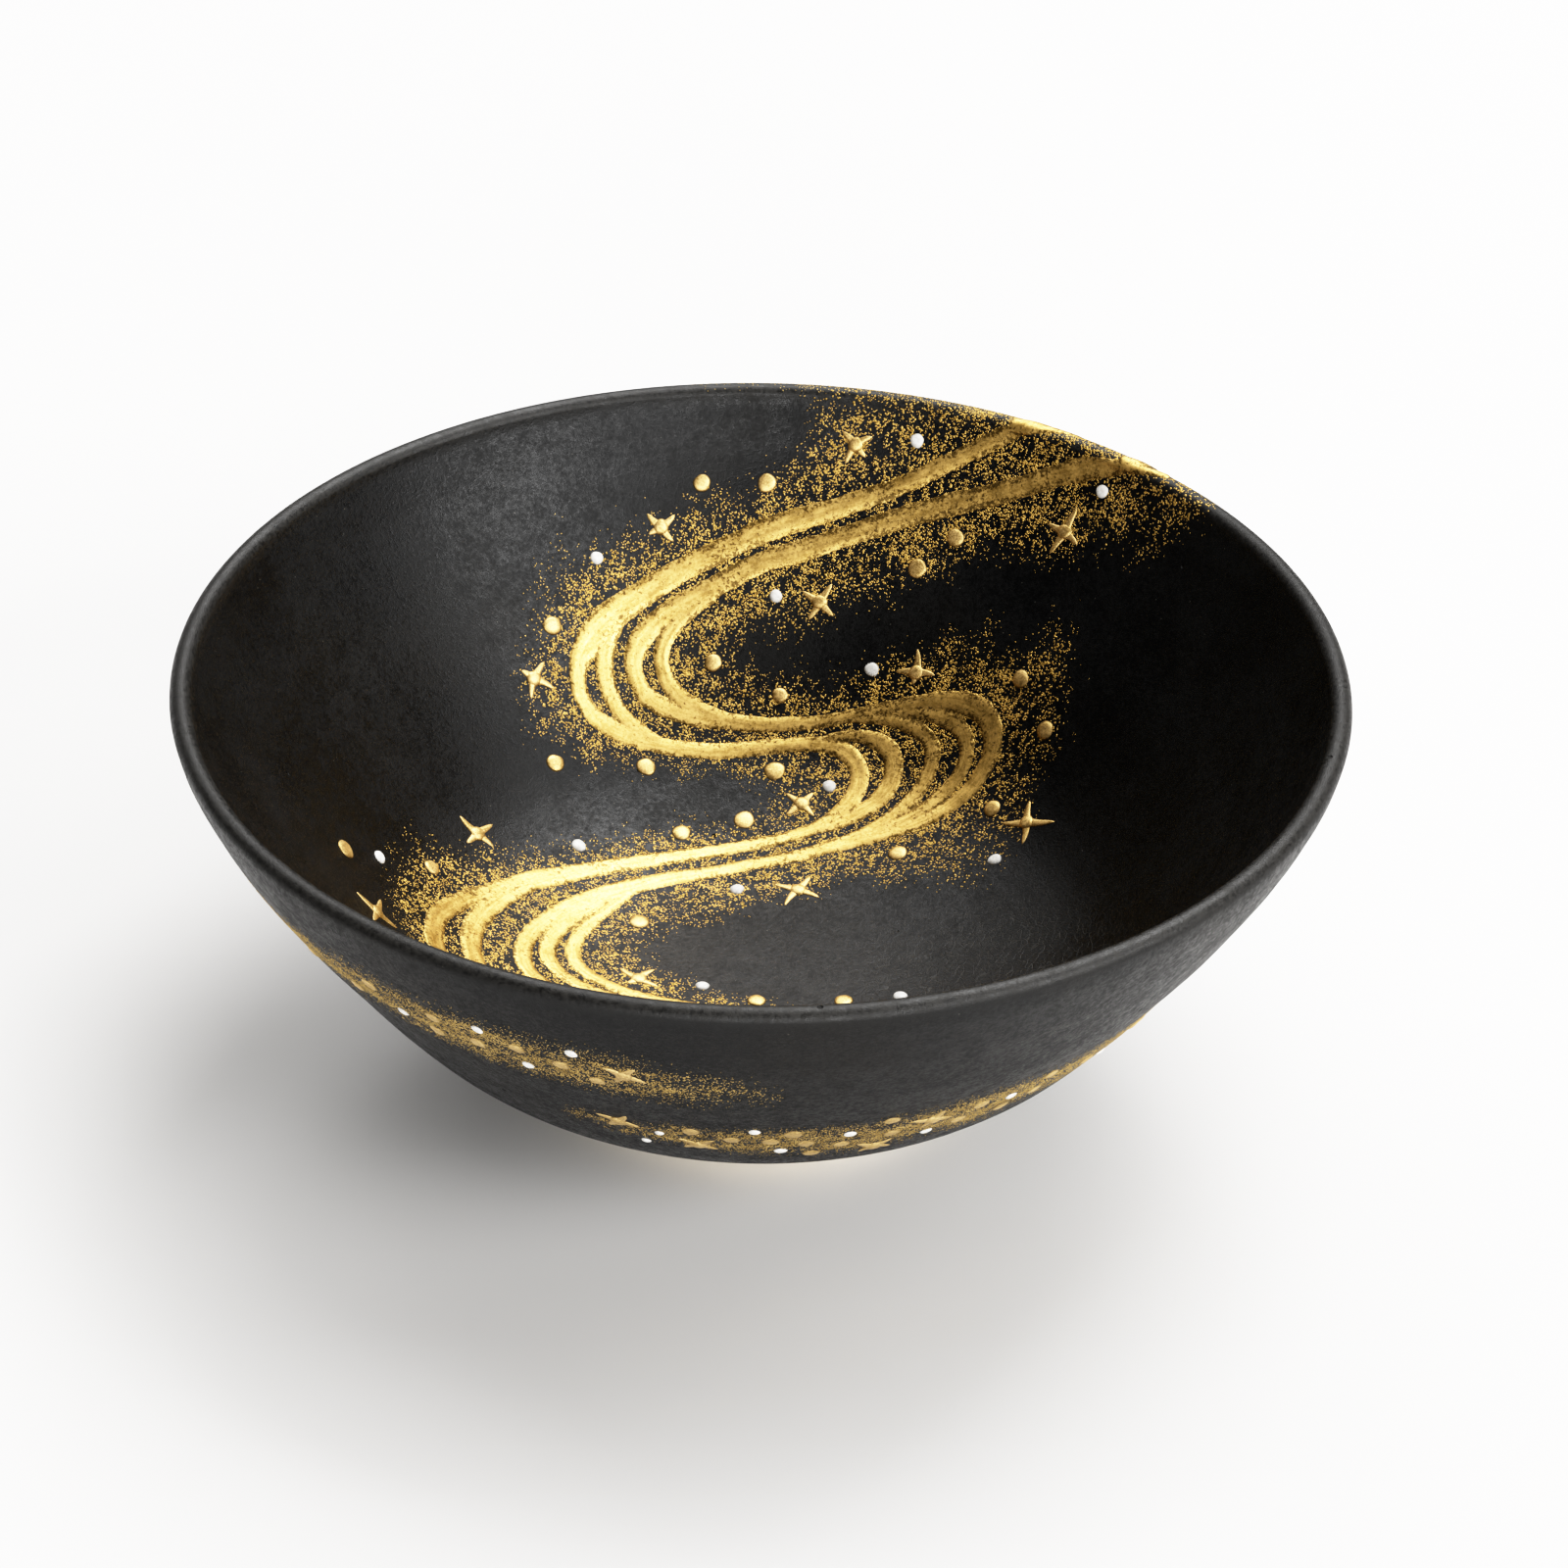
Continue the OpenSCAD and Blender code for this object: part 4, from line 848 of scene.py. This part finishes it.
def build_dust_inside(rows):
    rng = np.random.default_rng(71)
    poly = np.array(DUST)
    lo, hi = poly.min(0) - 3, poly.max(0) + 3
    tries = 32                     # on each square millimetre
    n = int(tries*np.prod(hi - lo))
    x, y = rng.uniform(lo[0], hi[0], n), rng.uniform(lo[1], hi[1], n)
    luck, grade = rng.random(n), rng.random(n)
    # how far each try is from a stroke, read off a coarse grid
    step = 0.5
    glo, depth, *_ = stroke_field(rows, step, 11.0)
    ij = [np.clip(((v - o)/step).round().astype(int), 0, m - 1)
          for v, o, m in zip((x, y), glo, depth.shape)]
    near = -depth[ij[0], ij[1]]
    edge = polygon_depth(x, y, DUST) + 3.0*(noise2(x, y, 2.6, 5) - 0.5)
    zone = smooth(edge, -2.2, 3.2)
    cover = 0.75 - 0.26*smooth(near, 1.0, 6.0) - 0.24*smooth(near, 6.0, 10.5)
    clump = 0.1 + 1.35*noise2(x, y, 0.7, 6) + 0.4*(noise2(x, y, 2.6, 7) - 0.5)
    cover = np.clip(cover*zone*clump, 0, 0.85)
    # flecks per square millimetre of true wall for that cover, then per try
    s = s_of_rho(np.hypot(x, y))
    steep = np.maximum(0.35, np.interp(s, LINE_S, np.abs(LINE_T[:, 0])))
    steep = np.where(np.hypot(x, y) > RHO[LIP_IN], 1.6, steep)
    rate = -np.log(1 - cover)/0.085/steep/tries
    keep = (luck < rate) & (near > -0.2)
    size = 0.11 + (0.05 + 0.17*grade[keep]**1.6)*(0.4 + 0.6*zone[keep])
    th = np.arctan2(y, x)
    scatter("gold_dust_inside_", s[keep], th[keep], size, rng, DUST_GOLD, 5)


def build_dust_outside():
    rng = np.random.default_rng(93)
    tries = 30                     # on each square millimetre
    found = []
    for k, band in enumerate(BANDS):
        c = spline(band, 8)
        cs = s_of_height(c[:, 1])
        order = np.argsort(c[:, 0])
        lo, hi = c[:, 0].min(), c[:, 0].max()
        area = math.radians(hi - lo)*RIM_R*(S_END - 8 - S_IN - 1)
        n = int(tries*area)
        a, s = rng.uniform(lo, hi, n), rng.uniform(S_IN + 1, S_END - 8, n)
        mid, wide, power = (np.interp(a, c[order, 0], v[order]) for v in (cs, c[:, 2], c[:, 3]))
        u = np.radians(a)*60       # roughly the length round the wall
        off = np.abs(s - mid) + 2.2*(noise2(u, s, 4.0, 15 + k) - 0.5)
        fall = 1 - smooth(off, 0.1*wide, 1.4*wide)
        # brushed on along the band
        dab = 0.65 + 0.7*smooth(noise2(u/4, s, 1.6, 45 + k), 0.25, 0.85)
        clump = 0.5 + noise2(u, s, 0.7, 25 + k)
        cover = np.clip(1.15*power*fall*clump*dab, 0, 0.8)
        rate = -np.log(1 - cover)/0.055*np.interp(s, LINE_S, LINE[:, 0])/RIM_R/tries
        keep = rng.random(n) < rate
        size = 0.10 + (0.04 + 0.12*rng.random(keep.sum())**1.6)*(0.4 + 0.6*fall[keep])
        found.append((s[keep], np.radians(a[keep]), size))
    s, th, size = (np.concatenate(v) for v in zip(*found))
    scatter("gold_dust_outside_", s, th, size, rng, OUTSIDE_SHADE_DUST, 4)


build_glaze()
build_clay()
upper_rows = build_stream("gold_upper_course", UPPER + [tail_in_plan(UPPER_TAIL)],
                          "gold_stream_upper_course", 3)
lower_rows = build_stream("gold_lower_course", LOWER + [tail_in_plan(LOWER_TAIL)],
                          "gold_stream_lower_course", 8)
build_drops()
build_stars()
build_dust_inside(np.concatenate([upper_rows, lower_rows]))
build_dust_outside()


# ---------------------------------------------------------------- stage, light and camera
def build_stage():
    me = bpy.data.meshes.new("floor")
    n, half = 24, 3.0              # squares along each side, and metres from the middle
    g = np.linspace(-half, half, n + 1)
    verts = [(x, y, 0.0) for x in g for y in g]
    faces = [(i*(n + 1) + j, (i + 1)*(n + 1) + j, (i + 1)*(n + 1) + j + 1, i*(n + 1) + j + 1)
             for i in range(n) for j in range(n)]
    me.from_pydata(verts, [], faces)
    m = Mat("pale_floor", IOR=1.4)
    tone = m.noise(0.02, 3, 0.5)
    me.materials.append(m.set(Base_Color=m.mix(tone, (0.785, 0.775, 0.762), (0.81, 0.80, 0.788)),
                              Roughness=m.range(tone, 0.3, 0.7, 0.8, 0.9)))
    floor = bpy.data.objects.new("floor", me)
    bpy.context.scene.collection.objects.link(floor)


# the brightest light the view shows as it rises to white, and how steep the curve is
SPAN, CONTRAST = 3.2, 1.5
PANEL_AWAY = 2.4
# soft boxes round the bowl: azimuth, elevation, width and height in metres, brightness
PANELS = {
    "key_right_front": (-35, 28, (1.3, 1.0), 20),
    "window_right_back": (60, 57, (1.3, 1.3), 14),
    "window_back": (118, 52, (1.3, 1.3), 5.5),
    "window_right": (0, 55, (1.2, 1.2), 4.5),
    "overhead": (45, 78, (1.2, 1.2), 5),
    "fill_front": (-85, 12, (1.4, 0.6), 25),
    "low_back": (90, 36, (0.6, 0.45), 13)}


def soft_panel(name, azimuth, elevation, size, bright):
    """A soft box seen from the bowl in that direction, this bright."""
    az, el = math.radians(azimuth), math.radians(elevation)
    to = Vector((math.cos(az)*math.cos(el), math.sin(az)*math.cos(el), math.sin(el)))
    data = bpy.data.lights.new(name, "AREA")
    data.shape = "RECTANGLE"
    data.size, data.size_y = size
    data.energy = bright/SPAN*math.pi*size[0]*size[1]
    ob = bpy.data.objects.new(name, data)
    ob.location = to*PANEL_AWAY
    ob.rotation_euler = (-to).to_track_quat("-Z", "Y").to_euler()
    ob.visible_camera = False
    bpy.context.scene.collection.objects.link(ob)


def build_light():
    world = bpy.data.worlds.new("studio")
    world.use_nodes = True
    tree = world.node_tree
    back = tree.nodes["Background"]
    path = tree.nodes.new("ShaderNodeLightPath")
    room = tree.nodes.new("ShaderNodeMix")
    room.data_type = "RGBA"
    room.inputs[6].default_value = (0.06, 0.06, 0.06, 1)   # what lights the bowl
    room.inputs[7].default_value = (0.80, 0.80, 0.80, 1)   # what shows past the floor
    tree.links.new(path.outputs["Is Camera Ray"], room.inputs["Factor"])
    tree.links.new(room.outputs[2], back.inputs["Color"])
    bpy.context.scene.world = world
    for name, setting in PANELS.items():
        soft_panel(name, *setting)


def build_view():
    """Show the light with more contrast, and a soft rise to white."""
    view = bpy.context.scene.view_settings
    view.view_transform = "Standard"
    view.look = "None"
    view.exposure = 0.0
    view.use_curve_mapping = True
    curve = view.curve_mapping.curves[3]    # red, green and blue together
    steps = 28
    # the points lie closer together in the darks
    for i in range(1, steps):
        x = (i/steps)**2
        curve.points.new(x, 1 - math.exp(-(SPAN*x)**CONTRAST))
    curve.points[-1].location = (1, 1 - math.exp(-SPAN**CONTRAST))
    for point in curve.points:
        point.handle_type = "VECTOR"
    view.curve_mapping.update()


def build_camera():
    data = bpy.data.cameras.new("camera")
    data.lens, data.sensor_width = 112.5, 36
    data.clip_start, data.clip_end = 0.01, 20
    ob = bpy.data.objects.new("camera", data)
    where = Vector((0, -0.5274, 0.3929))
    look = Vector((0.0049, 0.8325, -0.5540))
    roll = Matrix.Rotation(math.radians(1.1), 4, "Z")
    turn = look.to_track_quat("-Z", "Y").to_matrix().to_4x4()
    ob.matrix_world = Matrix.Translation(where) @ turn @ roll
    bpy.context.scene.collection.objects.link(ob)
    bpy.context.scene.camera = ob


build_stage()
build_light()
build_view()
build_camera()
